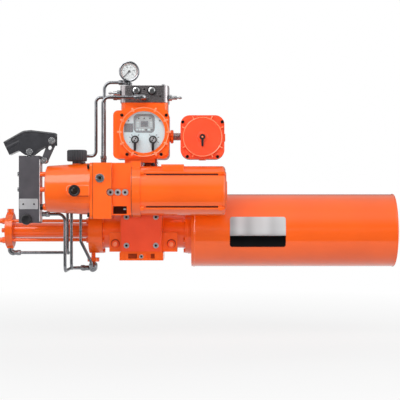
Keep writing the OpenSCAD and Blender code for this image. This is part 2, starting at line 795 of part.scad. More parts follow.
// Point of the tooth flank at a given radius, with a little less than half a pitch per tooth
function flank(rb, r, half) = let (t = sqrt(pow(r / rb, 2) - 1))
  half - (t * 180 / PI - atan(t));

// Outline of a spur gear with involute flanks above the base circle
module gear_outline(teeth, m) {
  rp = m * teeth / 2;
  rb = rp * cos(20);
  ro = rp + 0.85 * m;
  rr = rp - 1.15 * m;
  half = 90 / teeth - 1.2 + flank_offset(rb, rp);
  tooth = [[rr, -half], for (i = [0:5]) let (r = rb + (ro - rb) * i / 5) [r, -flank(rb, r, half)],
           for (i = [5:-1:0]) let (r = rb + (ro - rb) * i / 5) [r, flank(rb, r, half)], [rr, half]];
  polygon([for (k = [0:teeth - 1], q = tooth)
    let (a = q[1] + k * 360 / teeth) q[0] * [cos(a), sin(a)]]);
}

function flank_offset(rb, rp) = let (t = sqrt(pow(rp / rb, 2) - 1)) t * 180 / PI - atan(t);

module pump_drive_gear() color(steel) along_x(gear_x, hpu_y, hpu_z) linear_extrude(gear_w) difference() {
  gear_outline(gear_teeth, gear_m);
  circle(d = shaft_d + 2 * seat_gap);
}

module pump_idler_gear() color(steel) along_x(0, hpu_y, hpu_z - gear_pitch) {
  translate([0, 0, gear_x]) rotate(180 / gear_teeth) linear_extrude(gear_w) gear_outline(gear_teeth, gear_m);
  translate([0, 0, gear_x - 12]) cylinder(r = journal_r, h = gear_w + 22);
}

module filler_cap() color(black) translate([filler_x, hpu_y, filler_z]) {
  translate([0, 0, -12]) cylinder(d = filler_stub_d, h = 13);
  translate([0, 0, 0.3]) cylinder(d = 30, h = filler_collar);
  translate([0, 0, filler_collar]) cylinder(d = filler_d, h = filler_cap_h);
  translate([0, 0, filler_collar + filler_cap_h]) cylinder(d = filler_d - 8, h = 9);
}

module hand_pump_body() color(anthracite) difference() {
  union() {
    translate([pump_x, pump_front, pump_z]) cube([pump_w, pump_depth, pump_h]);
    for (x = [0, pump_w - 20]) translate([pump_x + x, pump_front, pump_top - 1]) cube([20, pump_depth, 5]);
    translate([p3[0] - 14, hpu_y - ear_half, pump_top - 20]) cube([14, 2 * ear_half, 21.5]);
    facing_front(p3[0], hpu_y + ear_half, p3[1]) cylinder(r = 10.5, h = 2 * ear_half);
  }
  translate([plunger_x, hpu_y, pump_top - plunger_l - 10])
    cylinder(d = plunger_d + 2 * run_gap, h = plunger_l + 11);
  facing_front(p3[0], hpu_y + ear_half + 1, p3[1]) cylinder(d = pin_d + 2 * run_gap, h = 2 * ear_half + 2);
  at_pump_bolts() screw_hole(bolt_d, pump_w + 1);
  facing_front(knob_x, pump_front + 20, knob_z) cylinder(r = 5 + run_gap, h = 21);
}

module hand_pump_piston() color(steel) difference() {
  union() {
    translate([plunger_x, hpu_y, pump_top - plunger_l])
      cylinder(d = plunger_d, h = p1[1] - pump_top + plunger_l - 5);
    facing_front(p1[0], hpu_y + eye_half, p1[1]) cylinder(r = 11.5, h = 2 * eye_half);
  }
  facing_front(p1[0], hpu_y + plunger_d, p1[1]) linear_extrude(2 * plunger_d)
    round_rect(pin_d + 9, pin_d + 1.6, (pin_d + 1.6) / 2 - 0.1);
  for (s = [-1, 1])
    translate([p1[0] - plunger_d, hpu_y + s * (eye_half + plunger_d) - plunger_d, pump_top + 4])
      cube([2 * plunger_d, 2 * plunger_d, 60]);
}

// Side outline of the hand lever, measured from the plunger pin
module lever_outline() {
  polygon([[-83, 31], [-21, 66], [3, 68.5], [82, 59], [82, 21], [56, 21], [32, 7], [11, -9.5],
           [-1, -12.5], [-15, -9], [-34, 4.5], [-64, -9]]);
}

module lever_channel() {
  polygon([[-20, -60], [-20, 30], [-14, 50], [4, 57], [90, 48], [90, -60]]);
}

module hand_pump_lever() color(black) difference() {
  union() {
    facing_front(p1[0], hpu_y + lever_w / 2, p1[1]) linear_extrude(lever_w) lever_outline();
    socket_frame() cylinder(d = 44, h = 46);
  }
  facing_front(p1[0], hpu_y + channel_half, p1[1]) linear_extrude(2 * channel_half) lever_channel();
  socket_frame() translate([0, 0, -10]) cylinder(d = socket_d, h = socket_depth + 10);
  for (p = [p1, p2]) facing_front(p[0], hpu_y + lever_w, p[1])
    cylinder(d = pin_d + 2 * seat_gap, h = 2 * lever_w);
}

// Frame with +Z running into the handle socket
module socket_frame() {
  translate([p1[0] - 73.5, hpu_y, p1[1] + 11]) rotate([0, 63.6, 0]) children();
}

// Pins through the lever, each with a shallow head on both sides
module hand_pump_pins() color(steel) for (p = [p1, p2]) facing_front(p[0], hpu_y + lever_w / 2 + 4, p[1]) {
  cylinder(d = pin_d, h = lever_w + 8);
  cylinder(d = pin_d + 11, h = 3.8);
  translate([0, 0, lever_w + 4.2]) cylinder(d = pin_d + 11, h = 3.8);
}

module hand_pump_link() color(black) difference() {
  union() {
    for (s = [-1, 1]) facing_front(0, hpu_y + s * (link_half + ear_half + 0.4) / 2 + 3, 0)
      linear_extrude(link_half - ear_half - 0.4) union() {
        translate(p2) circle(12);
        translate(p3) circle(9.5);
        polygon(link_sides());
      }
    facing_front(p3[0], hpu_y + link_half + 4, p3[1]) cylinder(d = pin_d, h = 2 * link_half + 8);
    for (y = [hpu_y + link_half + 4, hpu_y - link_half])
      facing_front(p3[0], y, p3[1]) cylinder(d = pin_d + 7, h = 4);
  }
  facing_front(p2[0], hpu_y + link_half + 1, p2[1]) cylinder(d = pin_d + 2 * run_gap, h = 2 * link_half + 2);
  facing_front(p3[0] + 0.66 * (p2 - p3)[0], hpu_y + link_half + 1, p3[1] + 0.66 * (p2 - p3)[1])
    cylinder(r = 7, h = 2 * link_half + 2);
}

function link_sides() = let (u = unit(p2 - p3), n = [-u[1], u[0]])
  [p3 + 9.5 * n, p3 - 9.5 * n, p2 - 12 * n, p2 + 12 * n];

module release_knob() color(black) {
  facing_front(knob_x, pump_front + 18, knob_z) cylinder(r = 5, h = 20);
  facing_front(knob_x, pump_front - 1, knob_z) cylinder(d = knob_d, h = 17);
}

module control_pedestal() color(orange) difference() {
  union() {
    translate([-foot_w / 2, -66, housing_top]) cube([foot_w, foot_depth, foot_t]);
    translate([-post_w / 2, -62, housing_top]) cube([post_w, post_depth, pedestal_h]);
    translate([seat_x, -100, control_z - seat_t]) cube([seat_w, seat_depth, seat_t]);
    translate([stay_x, block_back, hpu_z - 40]) cube([34, -block_back - 50, 115]);
  }
  translate([12 - post_w / 2, -50, housing_top + foot_t])
    cube([post_w - 24, post_depth - 24, pedestal_h - foot_t - seat_t]);
  translate([-20, -63, control_z - 44]) cube([69, 14, 32]);
  translate([0, 0, housing_top - 1]) cylinder(r = 14, h = pedestal_h + 2);
  at_pedestal_bolts() screw_hole(bolt_d, 15);
}

module control_housing() color(orange) difference() {
  union() {
    facing_front(control_x, control_depth - control_front, control_z + control_h / 2)
      linear_extrude(control_depth) round_rect(control_w, control_h, 16);
    translate([top_x, top_front + 3 + top_depth / 2 - 3, control_top - 20])
      linear_extrude(collar_h + 20) round_rect(top_w - 6, top_depth - 6, 16);
  }
  translate([dial_x - control_pocket / 2, -control_front - 1, dial_z - control_pocket / 2])
    cube([control_pocket, control_depth - 7, control_pocket]);
  translate([0, 0, control_z - 1]) cylinder(r = 10, h = 40);
  at_control_screws() screw_hole(cover_screw_d, 28);
  along_x(control_x + control_w / 2 - 16, nipple_y, nipple_z) cylinder(d = conduit_d + 2 * hole_gap, h = 18);
}

module control_cover() color(orange) difference() {
  union() {
    facing_front(dial_x, -control_front, dial_z) cylinder(r = control_r, h = control_cover_t);
    facing_front(dial_x, -control_front, dial_z) linear_extrude(control_plate_t)
      round_rect(2 * control_r, 2 * control_r, 32);
  }
  facing_front(dial_x, -control_front + 1, dial_z) cylinder(r = window_r, h = control_cover_t + 2);
  facing_front(dial_x, -control_front + 1, dial_z) cylinder(r = window_r + 4, h = control_cover_t - 7);
  at_control_screws() screw_hole(cover_screw_d, 30);
  at_control_screws() cylinder(r = 9, h = 30);
}

module glass_windows() color([0.8, 0.9, 0.9, 0.4]) {
  facing_front(dial_x, lip_y + glass_t, dial_z) difference() {
    cylinder(r = window_r + 4 - seat_gap, h = glass_t);
    for (s = [-1, 1]) translate([s * selector_x, selector_z - dial_z, -1])
      cylinder(r = 4 + run_gap, h = glass_t + 2);
  }
  facing_front(gauge_x, gauge_front + 3, gauge_z) cylinder(d = gauge_d - 6 - 2 * seat_gap, h = 2);
}

module control_panel() color(pale_grey) facing_front(dial_x, lip_y + glass_t + 10, dial_z) difference() {
  cylinder(r = window_r + 3, h = 9.5);
  translate([0, 28, 6]) linear_extrude(4) round_rect(68, 60, 14);
  for (s = [-1, 1]) translate([s * selector_x, selector_z - dial_z, 5]) cylinder(r = 5, h = 6);
}

module selector(s) facing_front(dial_x + s * selector_x, lip_y + glass_t + 2, selector_z) {
  cylinder(r = 4, h = glass_t + 5);
  translate([0, 0, glass_t + 3]) cylinder(d = selector_d, h = 14);
  translate([-4.5, -selector_l, glass_t + 10]) cube([9, selector_l, 7]);
}

module left_selector() color(black) selector(-1);

module right_selector() color(black) selector(1);

module conduit_nipple() color(steel) difference() {
  union() {
    along_x(control_x + control_w / 2 - 9, nipple_y, nipple_z) cylinder(d = conduit_d, h = junction_gap + 18);
    along_x(control_x + control_w / 2, nipple_y, nipple_z) cylinder(r = 22, h = 10);
  }
  along_x(control_x + control_w / 2 - 10, nipple_y, nipple_z)
    cylinder(d = conduit_d - 8, h = junction_gap + 20);
}

module junction_box() color(orange) difference() {
  union() {
    facing_front(jbox_mid, jbox_back, jbox_z) linear_extrude(junction_depth)
      round_rect(junction_w, junction_w, 30);
    along_x(jbox_x + junction_w - 6, nipple_y, jbox_z) cylinder(d = entry_d + 6, h = 9);
    translate([jbox_mid, nipple_y, jbox_z - junction_w / 2 - 3]) cylinder(d = entry_d + 4, h = 9);
  }
  facing_front(jbox_mid, jbox_back - 8, jbox_z) cylinder(r = junction_r - 6, h = junction_depth);
  along_x(jbox_x - 1, nipple_y, nipple_z) cylinder(d = conduit_d + 2 * hole_gap, h = 16);
  along_x(jbox_x + junction_w - 16, nipple_y, jbox_z) cylinder(d = entry_d, h = 26);
  at_junction_screws() screw_hole(cover_screw_d, jcover_t + 14);
}

module junction_cover() color("#f0552c") difference() {
  union() {
    facing_front(jbox_mid, jbox_front, jbox_z) linear_extrude(jcover_t)
      round_rect(junction_w - 2, junction_w - 2, 30);
    facing_front(jbox_mid, jbox_front, jbox_z) cylinder(r = junction_r, h = jcover_t + jdisc_t);
  }
  at_junction_screws() screw_hole(cover_screw_d, jcover_t + 1);
  at_junction_screws() cylinder(r = 9, h = 30);
  facing_front(jbox_mid, jbox_front + 1, jbox_z) cylinder(r = 5 + run_gap, h = jcover_t + jdisc_t + 2);
}

module junction_switch() color(black) facing_front(jbox_mid, jbox_front - 2, jbox_z) {
  cylinder(r = 5, h = jcover_t + jdisc_t);
  translate([0, 0, jcover_t + jdisc_t - 1]) cylinder(d = 18, h = 10);
  translate([-4, -31, jcover_t + jdisc_t + 2]) cube([8, 31, 7]);
}

module top_manifold() color(dark_steel) difference() {
  translate([top_x, top_front + top_depth / 2, top_z]) linear_extrude(top_h) round_rect(top_w, top_depth, 20);
  for (x = cap_places) facing_front(top_x + x, top_front + 16, top_top - 17)
    cylinder(d = 18 + 2 * hole_gap, h = 17);
}

module manifold_caps() color(steel) for (x = cap_places) facing_front(top_x + x, top_front, top_top - 17) {
  translate([0, 0, -14]) cylinder(d = 18, h = 14);
  cylinder(d = 29, h = 6);
  cylinder(d = 23, h = 12);
}

module gauge_case() color(steel) difference() {
  union() {
    facing_front(gauge_x, gauge_y + gauge_t / 2, gauge_z) cylinder(d = gauge_d, h = gauge_t);
    translate([gauge_x, gauge_y, top_top]) cylinder(r = 8, h = gauge_z - top_top - 5);
    translate([gauge_x - tee_l, gauge_y - 9, tee_z - 9]) cube([tee_l + 10, 18, 18]);
  }
  facing_front(gauge_x, gauge_front + 10, gauge_z) cylinder(d = gauge_d - 6, h = 11);
}

module gauge_dial() color(pale_grey) facing_front(gauge_x, gauge_front + 10, gauge_z) difference() {
  cylinder(d = gauge_d - 6 - 2 * seat_gap, h = 2);
  translate([0, 0, -1]) cylinder(r = 1.5 + run_gap, h = 4);
}

module gauge_pointer() color(black) facing_front(gauge_x, gauge_front + 9, gauge_z) {
  cylinder(r = 1.5, h = 4);
  translate([0, 0, 2]) cylinder(r = 4, h = 2.5);
  rotate(225) translate([0, -1.2, 2.5]) cube([gauge_d / 2 - 8, 2.4, 1.2]);
}

t1_y = gauge_y;
t1_x = block_x + 26;
t2_y = top_front - 28;
t2_z = top_z + 15;
t3_y = top_front + 50;
t3_z = top_z + 20;
t3_low = control_z + 10;
t3_down = res_x - 32;
t3_port = res_z + reservoir_d / 2 - 8;

// The tubes above the power unit: gauge line, front line and return line
module upper_tubes() color(steel) {
  bent_tube([[gauge_x - tee_l, t1_y, tee_z], [t1_x, t1_y, tee_z],
             [t1_x, t1_y, block_top + fit_body]], bend_r);
  bent_tube([[top_x - 8 - fit_body, t2_y, t2_z], [t1_x - 2, t2_y, t2_z],
             [t1_x - 2, t2_y, block_top + fit_body]], bend_r);
  bent_tube([[top_x - top_w / 2 - fit_body, t3_y, t3_z], [block_x - 4, t3_y, t3_z],
             [block_x - 4, t3_y, t3_low], [t3_down, t3_y, t3_low], [t3_down, hpu_y + 44, t3_low],
             [t3_down, hpu_y + 44, t3_port]], 16);
}

ta_x = head_x - 68;
ta_y = -22;
ta_z = cap_port_z - 15;
tb_x = head_x - 63;
tb_z = port_z - 22;
tc_x = head_x - 52;
tc_y = hpu_y + reservoir_d / 2 + 8;
td_x = head_x - 23;
td_y = -35;
clus_x = port_x - 14;
clus_y = rod_y - 40;

// The tubes below: end cap line, hand pump line and two cylinder lines
module lower_tubes() color(steel) {
  bent_tube([[cap_port_x + 11 + fit_body, rod_y, ta_z], [ta_x, rod_y, ta_z], [ta_x, ta_y, ta_z],
             [ta_x, ta_y, hpu_z + 30], [block_x + 30, ta_y, hpu_z + 30],
             [block_x + 30, block_back + fit_body, hpu_z + 30]], bend_r);
  bent_tube([[pump_r + fit_body, pump_port_y, pump_port_z], [tb_x, pump_port_y, pump_port_z],
             [tb_x, pump_port_y, tb_z], [tb_x, rod_y, tb_z], [clus_x - fit_body, rod_y, tb_z]], bend_r);
  bent_tube([[block_x + 50, block_back + fit_body, hpu_z - 30], [block_x + 50, tc_y + 24, hpu_z - 30],
             [tc_x, tc_y + 24, hpu_z - 30], [tc_x, tc_y + 24, tb_z + 3], [tc_x, rod_y - 32, tb_z + 3],
             [clus_x - fit_body, rod_y - 32, tb_z + 3]], 20);
  bent_tube([[block_x + 14, block_back + fit_body, hpu_z], [block_x + 14, td_y, hpu_z], [td_x, td_y, hpu_z],
             [td_x, td_y, 44], [port_x, td_y, 44], [port_x, td_y, tb_z + 6],
             [port_x, clus_y - fit_body, tb_z + 6]], 11);
}

// Fittings on every tube end, the elbow under the end cap and the port block under the head
module tube_fittings() color(steel) {
  against_x(gauge_x - tee_l, t1_y, tee_z) fitting(0);
  translate([t1_x, t1_y, block_top]) fitting();
  translate([t1_x - 2, t2_y, block_top]) fitting();
  facing_front(top_x, top_front, t2_z) cylinder(r = 9, h = 19);
  translate([top_x - 8, t2_y - 9, t2_z - 9]) cube([17, 18, 18]);
  against_x(top_x - 8, t2_y, t2_z) fitting();
  against_x(top_x - top_w / 2, t3_y, t3_z) fitting();
  translate([t3_down, hpu_y + 44, t3_port]) fitting(0);
  translate([cap_port_x - 11, rod_y - 9, ta_z - 9]) cube([22, 18, cap_port_z - ta_z + 9]);
  along_x(cap_port_x + 11, rod_y, ta_z) fitting();
  facing_back(block_x + 30, block_back, hpu_z + 30) fitting();
  facing_back(block_x + 50, block_back, hpu_z - 30) fitting();
  facing_back(block_x + 14, block_back, hpu_z) fitting();
  along_x(pump_r, pump_port_y, pump_port_z) fitting();
  translate([clus_x, clus_y, tb_z - 12]) cube([28, 54, port_z - tb_z + 12]);
  against_x(clus_x, rod_y, tb_z) fitting();
  against_x(clus_x, rod_y - 32, tb_z + 3) fitting();
  facing_front(port_x, clus_y, tb_z + 6) fitting();
}

module bleed(l) {
  cylinder(r = 10, h = 10, $fn = 6);
  cylinder(r = 6.5, h = l - 16);
  cylinder(r = 3, h = l);
  translate([0, 0, l - 9]) cylinder(r = 4.5, h = 6);
}

module bleed_valves() color(steel) {
  along_x(top_x + top_w / 2, gauge_y, top_z + 16) bleed(42);
  against_x(top_x - top_w / 2, gauge_y, top_z + 31) bleed(38);
}

module yoke() color(iron) rotate(135) difference() {
  union() {
    translate([0, 0, hub_z]) cylinder(d = hub_d, h = housing_top - hub_z - 0.5);
    for (z = [rod_z + arm_z, rod_z - arm_z - arm_t]) translate([0, 0, z]) linear_extrude(arm_t) difference() {
      union() {
        translate([0, -arm_half]) square([slot_end, 2 * arm_half]);
        translate([slot_end, 0]) circle(arm_half);
      }
      translate([slot_start, -slot_half]) square([slot_end - slot_start, 2 * slot_half]);
      for (x = [slot_start, slot_end]) translate([x, 0]) circle(slot_half);
    }
  }
  translate([0, 0, hub_z - 1]) cylinder(d = bore_d, h = bore_depth + 1);
  translate([0, -key_w / 2, hub_z - 1]) cube([bore_d / 2 + key_h, key_w, bore_depth + 1]);
  translate([0, 0, housing_top - 16]) cylinder(r = 9 + seat_gap, h = 17);
}

module feedback_shaft() color(steel) translate([0, 0, housing_top - 15])
  cylinder(r = 9, h = pedestal_h + 35);

module guide_block() color(iron) difference() {
  translate([-stroke / 2 - slider_l / 2, rod_y - slider_front, rod_z - slider_h / 2])
    cube([slider_l, slider_front + slider_back, slider_h]);
  along_x(-stroke / 2 - slider_l, rod_y, rod_z) cylinder(d = rod_d + 2 * seat_gap, h = 2 * slider_l);
  along_x(-stroke / 2 - slider_l, guide_y, rod_z) cylinder(d = guide_d + 2 * run_gap, h = 2 * slider_l);
  for (s = [0, 180]) translate([-stroke / 2, rod_y, rod_z]) rotate([s, 0, 0])
    translate([0, 0, slider_h / 2 - 4]) cylinder(r = 6 + seat_gap, h = 6);
}

// Two short pins, each with a roller that runs in a yoke slot
module drive_pin() color(steel) for (s = [0, 180]) translate([-stroke / 2, rod_y, rod_z]) rotate([s, 0, 0]) {
  translate([0, 0, slider_h / 2 - 3.5]) cylinder(r = 6, h = arm_t + 5);
  translate([0, 0, arm_z]) ring(roller_d, 12 + 2 * run_gap, arm_t);
}

module drive_rod() color(steel) along_x(piston_x, rod_y, rod_z) cylinder(d = rod_d, h = rod_end - piston_x);

module piston() color(iron) along_x(piston_x, rod_y, rod_z) rotate_extrude() polygon([
  [rod_d / 2 + seat_gap, 0], [barrel_bore / 2 - run_gap, 0], [barrel_bore / 2 - run_gap, 10],
  [barrel_bore / 2 - 3, 10], [barrel_bore / 2 - 3, 15], [barrel_bore / 2 - run_gap, 15],
  [barrel_bore / 2 - run_gap, piston_t], [rod_d / 2 + seat_gap, piston_t]]);

module spring_plate() color(iron) difference() {
  along_x(plate_x, rod_y, rod_z) cylinder(d = spring_d + 2 * wire_d, h = plate_t);
  along_x(plate_x - 1, rod_y, rod_z) cylinder(d = rod_d + 2 * seat_gap, h = plate_t + 2);
}

// Round wire wound along the can axis, as rings of points joined by triangles
module spring() color(dark_steel) {
  sides = 6;
  steps = 16 * spring_turns;
  length = can_inner_end - rod_end - wire_d - 0.4;
  rise = length / (2 * PI * spring_turns);
  run = sqrt(pow(spring_d / 2, 2) + pow(rise, 2));
  points = [for (i = [0:steps], j = [0:sides - 1])
    let (a = 360 * spring_turns * i / steps, b = 360 * (j + 0.5) / sides,
         out = wire_d / 2 * cos(b), up = wire_d / 2 * sin(b))
    [length * i / steps + up * spring_d / 2 / run,
     (spring_d / 2 + out) * cos(a) + up * rise / run * sin(a),
     (spring_d / 2 + out) * sin(a) - up * rise / run * cos(a)]];
  faces = [[for (j = [0:sides - 1]) j], [for (j = [sides - 1:-1:0]) steps * sides + j],
    for (i = [0:steps - 1], j = [0:sides - 1]) let (k = i * sides, n = (j + 1) % sides)
      each [[k + j, k + sides + j, k + sides + n], [k + j, k + sides + n, k + n]]];
  translate([rod_end + wire_d / 2 + 0.2, rod_y, rod_z]) polyhedron(points, faces);
}

yoke_housing();
front_cover();
stem_bushes();
guide_bar();
hex_bolts();
cap_screws();
cylinder_head();
cylinder_barrel();
cylinder_end_cap();
cylinder_tie_rods();
hex_plugs();
spring_can();
spring_can_flange();
manifold_block();
reservoir();
sight_glass();
motor_adapter();
motor_housing();
motor_end_cover();
motor_tie_bolts();
motor_stator();
motor_bearings();
hand_pump_body();
control_pedestal();
control_housing();
control_cover();
glass_windows();
control_panel();
conduit_nipple();
junction_box();
junction_cover();
top_manifold();
manifold_caps();
gauge_case();
gauge_dial();
upper_tubes();
lower_tubes();
tube_fittings();
bleed_valves();
yoke();
feedback_shaft();
guide_block();
drive_pin();
drive_rod();
piston();
spring_plate();
spring();
motor_rotor();
pump_drive_gear();
pump_idler_gear();
filler_cap();
hand_pump_lever();
hand_pump_pins();
hand_pump_link();
hand_pump_piston();
release_knob();
left_selector();
right_selector();
junction_switch();
gauge_pointer();
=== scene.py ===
"""Electro-hydraulic quarter-turn actuator with spring return, dressed on its CAD frame.

The CAD nodes keep their place and shape; cast and machined edges are softened with modifiers.
Pieces that the CAD gives only as plain solids, such as the ribbed cap, the knobs, the gauge face and
the panel, are surfaces worked out with numpy. The front is at -Y. Lengths are millimetres; the meshes,
the camera, the lights and the ground are in metres.
"""

import math

import bpy
import bmesh
import numpy as np
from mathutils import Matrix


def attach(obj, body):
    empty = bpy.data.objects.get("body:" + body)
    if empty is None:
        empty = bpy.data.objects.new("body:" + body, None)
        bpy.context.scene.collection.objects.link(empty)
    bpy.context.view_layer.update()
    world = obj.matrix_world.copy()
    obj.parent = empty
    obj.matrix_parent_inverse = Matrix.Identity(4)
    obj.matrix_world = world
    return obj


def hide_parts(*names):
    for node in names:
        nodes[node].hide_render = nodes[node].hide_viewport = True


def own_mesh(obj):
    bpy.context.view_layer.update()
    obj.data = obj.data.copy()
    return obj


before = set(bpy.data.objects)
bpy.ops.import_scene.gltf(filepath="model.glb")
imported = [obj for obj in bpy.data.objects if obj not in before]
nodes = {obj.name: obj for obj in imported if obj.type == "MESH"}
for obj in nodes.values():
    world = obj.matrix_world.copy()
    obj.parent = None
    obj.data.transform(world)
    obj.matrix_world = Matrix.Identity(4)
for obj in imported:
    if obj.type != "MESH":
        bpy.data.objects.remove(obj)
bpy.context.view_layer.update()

MM = 0.001
RIGHT, LEFT, BACK, FORWARD, UP = (1, 0, 0), (-1, 0, 0), (0, 1, 0), (0, -1, 0), (0, 0, 1)

# Sizes shared with the CAD model
ROD_Y, ROD_Z = 45.0, 95.0
CAN_R, CAN_START, CAN_END = 120.0, 161.0, 834.0
SPRING_START, SPRING_END, STROKE = 191.2, 819.8, 90.0
POWER_Y, POWER_Z = -164.0, 225.0
FILLER_X, FILLER_Z = -199.0, 311.06
SIGHT_FRONT, BLOCK_FRONT = -245.0, -234.0
PUMP_RIGHT, PUMP_FRONT = -314.0, -199.0
LEVER_HALF, LINK_X, LINK_Z, LINK_HALF = 17.0, -301.0, 321.0, 18.4
MOTOR_END = (270, POWER_Y, POWER_Z)
DIAL_X, DIAL_Z = 12.0, 412.0
COVER_FRONT, COVER_R = -148.0, 80.0
PANEL_FRONT, PANEL_POCKET = -134.5, -131.0
SELECTOR_Z, SELECTOR_OFFSET = 388.0, 28.5
JUNCTION_X, JUNCTION_Z = 198.0, 399.0
JUNCTION_DISC, JUNCTION_R = -103.0, 65.0
CONDUIT = (90.0, -50.0, 402.0)
TOP_FRONT, ELBOW_X, ELBOW_Y, ELBOW_Z = -120.0, 12.0, -148.0, 523.0
GAUGE_X, GAUGE_Z, GAUGE_FRONT, GAUGE_R = -37.0, 608.0, -119.0, 32.0
STEM_Y, TEE_Z, DIAL_FACE = -105.0, 573.0, -111.0
HOUSING_BACK, CONTROL_BACK = 121.0, 20.0

# Distances in metres under which points are one, and an edge has no length; edges over the angle stay sharp
SAME_POINT, NO_LENGTH = 1e-6, 1e-7
SHARP_EDGE = math.radians(35)


# Colour and shader nodes


def linear(code):
    """sRGB hex colour as linear RGBA: c/12.92 below 0.04045, else ((c + 0.055)/1.055)^2.4."""
    c = np.array([int(code[i : i + 2], 16) for i in (1, 3, 5)]) / 255
    c = np.where(c <= 0.04045, c / 12.92, ((c + 0.055) / 1.055) ** 2.4)
    return (*c, 1.0)


def add(tree, kind, inputs=(), **settings):
    """Adds one shader node, sets its properties, and sets or links its inputs.

    Inputs go by name or in the order of the sockets. A node as an input stands for its first output.
    """
    n = tree.nodes.new("ShaderNode" + kind)
    for key, value in settings.items():
        setattr(n, key, value)
    for key, value in inputs.items() if isinstance(inputs, dict) else enumerate(inputs):
        value = value.outputs[0] if isinstance(value, bpy.types.Node) else value
        if isinstance(value, bpy.types.NodeSocket):
            tree.links.new(value, n.inputs[key])
        else:
            n.inputs[key].default_value = value
    return n


def new_material(name):
    """Empty material, given back with its node tree."""
    m = bpy.data.materials.new(name)
    m.use_nodes = True
    m.node_tree.nodes.clear()
    return m, m.node_tree


def surfaced(name, dark, light, rough, patch, grain, height, metallic=0.0, shine=0.5, coat=0.0,
             coat_rough=0.1, stretch=(1, 1, 1), turn=(0, 0, 0), detail=4.0):
    """Material whose colour runs from dark to light in patches, with a finer grain in its bump.

    patch and grain are the sizes in millimetres of the colour patches and of the surface grain,
    height is the depth of the grain in millimetres, and rough is the range of roughness.
    stretch draws the pattern out along an axis, as brushing and turning do, and turn slants it.
    """
    m, tree = new_material(name)
    where = add(tree, "TexCoord").outputs["Object"]
    drawn = add(tree, "Mapping", {"Vector": where, "Rotation": turn, "Scale": stretch})
    spots = add(tree, "TexNoise", {"Vector": drawn, "Scale": 1000 / patch, "Detail": detail})
    fine = add(tree, "TexNoise", {"Vector": drawn, "Scale": 1000 / grain, "Detail": 2.0})
    even = add(tree, "MapRange", {"Value": spots, "From Min": 0.32, "From Max": 0.68})
    tint = add(tree, "Mix", {"Factor": even, "A": linear(dark), "B": linear(light)}, data_type="RGBA")
    dull = add(tree, "MapRange", {"Value": fine, "From Min": 0.3, "From Max": 0.7,
                                  "To Min": rough[0], "To Max": rough[1]})
    bump = add(tree, "Bump", {"Height": fine, "Strength": 0.6, "Distance": height * MM})
    shader = add(tree, "BsdfPrincipled", {
        "Base Color": tint.outputs["Result"], "Roughness": dull, "Normal": bump, "Metallic": metallic,
        "Specular IOR Level": shine, "Coat Weight": coat, "Coat Roughness": coat_rough})
    add(tree, "OutputMaterial", {"Surface": shader})
    return m


# Two-pack enamel sprayed on castings: full orange, glossy, with the faint dimple of a thick coat
casting_enamel = surfaced("orange_enamel_on_casting", "#F45E0C", "#FF650E", (0.34, 0.44), 70, 2.6, 0.03,
                          coat=0.8, coat_rough=0.08, shine=0.3)
# The same enamel on rolled and machined steel, where the coat lies flat and shows a clear reflection
smooth_enamel = surfaced("orange_enamel_on_steel", "#F65F0E", "#FF640E", (0.28, 0.34), 140, 3.5, 0.006,
                         coat=1.0, coat_rough=0.05, shine=0.3)
# Pale enamel as painted highlight, on the cover ribs and rims, the sight pad's edge, the stop bolt studs and
# the switch screw
painted_highlight_enamel = surfaced(
    "pale_enamel_painted_highlight", "#FF7C48", "#FF9870", (0.3, 0.4), 40, 2.6, 0.01, coat=0.8, coat_rough=0.08)
# A redder batch of enamel, on the covers
cover_enamel = surfaced("red_orange_enamel", "#F04C26", "#FA542C", (0.36, 0.46), 70, 2.6, 0.03, coat=0.7,
                        coat_rough=0.09, shine=0.3)
# Satin black stove enamel over pressed steel, with a fine texture
black_enamel = surfaced(
    "black_stove_enamel", "#232327", "#2E2E33", (0.4, 0.54), 26, 1.2, 0.05, coat=0.8, coat_rough=0.2)
# The same in dark grey, duller, on a flat link
grey_enamel = surfaced("dark_grey_stove_enamel", "#3C3B3F", "#47464A", (0.42, 0.54), 26, 1.2, 0.03)
# Anthracite enamel on a machined block: flat and almost matt
anthracite_enamel = surfaced("anthracite_enamel", "#434146", "#4E4B50", (0.46, 0.58), 40, 1.4, 0.03)
# Moulded black nylon: dull, slightly grained
black_nylon = surfaced("moulded_black_nylon", "#141416", "#1E1E21", (0.34, 0.46), 30, 0.9, 0.02)
# A greyer nylon, worn by weather
weathered_nylon = surfaced("weathered_black_nylon", "#232327", "#303035", (0.4, 0.5), 30, 0.9, 0.02)
# Phosphated steel block: dark warm grey, finely ground, with milling lines along its length
phosphated_steel = surfaced("phosphated_steel", "#9A9496", "#AAA4A6", (0.24, 0.34), 26, 1.6, 0.008,
                            metallic=0.92, stretch=(0.12, 1, 1))
# Zinc-plated steel: light grey metal with faint cloudy passivation
zinc_plate = surfaced("zinc_plated_steel", "#B4B5B8", "#D2D3D5", (0.18, 0.28), 12, 0.8, 0.008, metallic=0.85)
# Bright passivated zinc of small screws
bright_zinc = surfaced("bright_zinc_plate", "#AFB0B3", "#C8C9CB", (0.28, 0.38), 8, 0.8, 0.008, metallic=0.5)
# Turned stainless of the tube fittings, with a close tool grain
turned_stainless = surfaced(
    "turned_stainless_steel", "#7C7D80", "#999A9D", (0.2, 0.3), 10, 0.7, 0.006, metallic=0.95)
# Red oxide primer, bare and matt where the orange coat was kept away
# Dark red-brown and matt: painted shade in the block's recess and along the motor's tie bolts
painted_shade_dark = surfaced("red_brown_painted_shade", "#45160F", "#581F16", (0.55, 0.7), 20, 1.4, 0.02, shine=0.2)
# Brown and matt: painted shade under the sight pad, round the stop bolts and in the flange's pockets
painted_shade_brown = surfaced("painted_shade_brown", "#8E3412", "#A43E16", (0.5, 0.62), 20, 1.4, 0.02, shine=0.2)
# Drawn stainless tube: bright grey, with fine draw lines
drawn_stainless = surfaced(
    "drawn_stainless_tube", "#7C7D81", "#9A9B9F", (0.2, 0.3), 18, 1.0, 0.006, metallic=1.0)
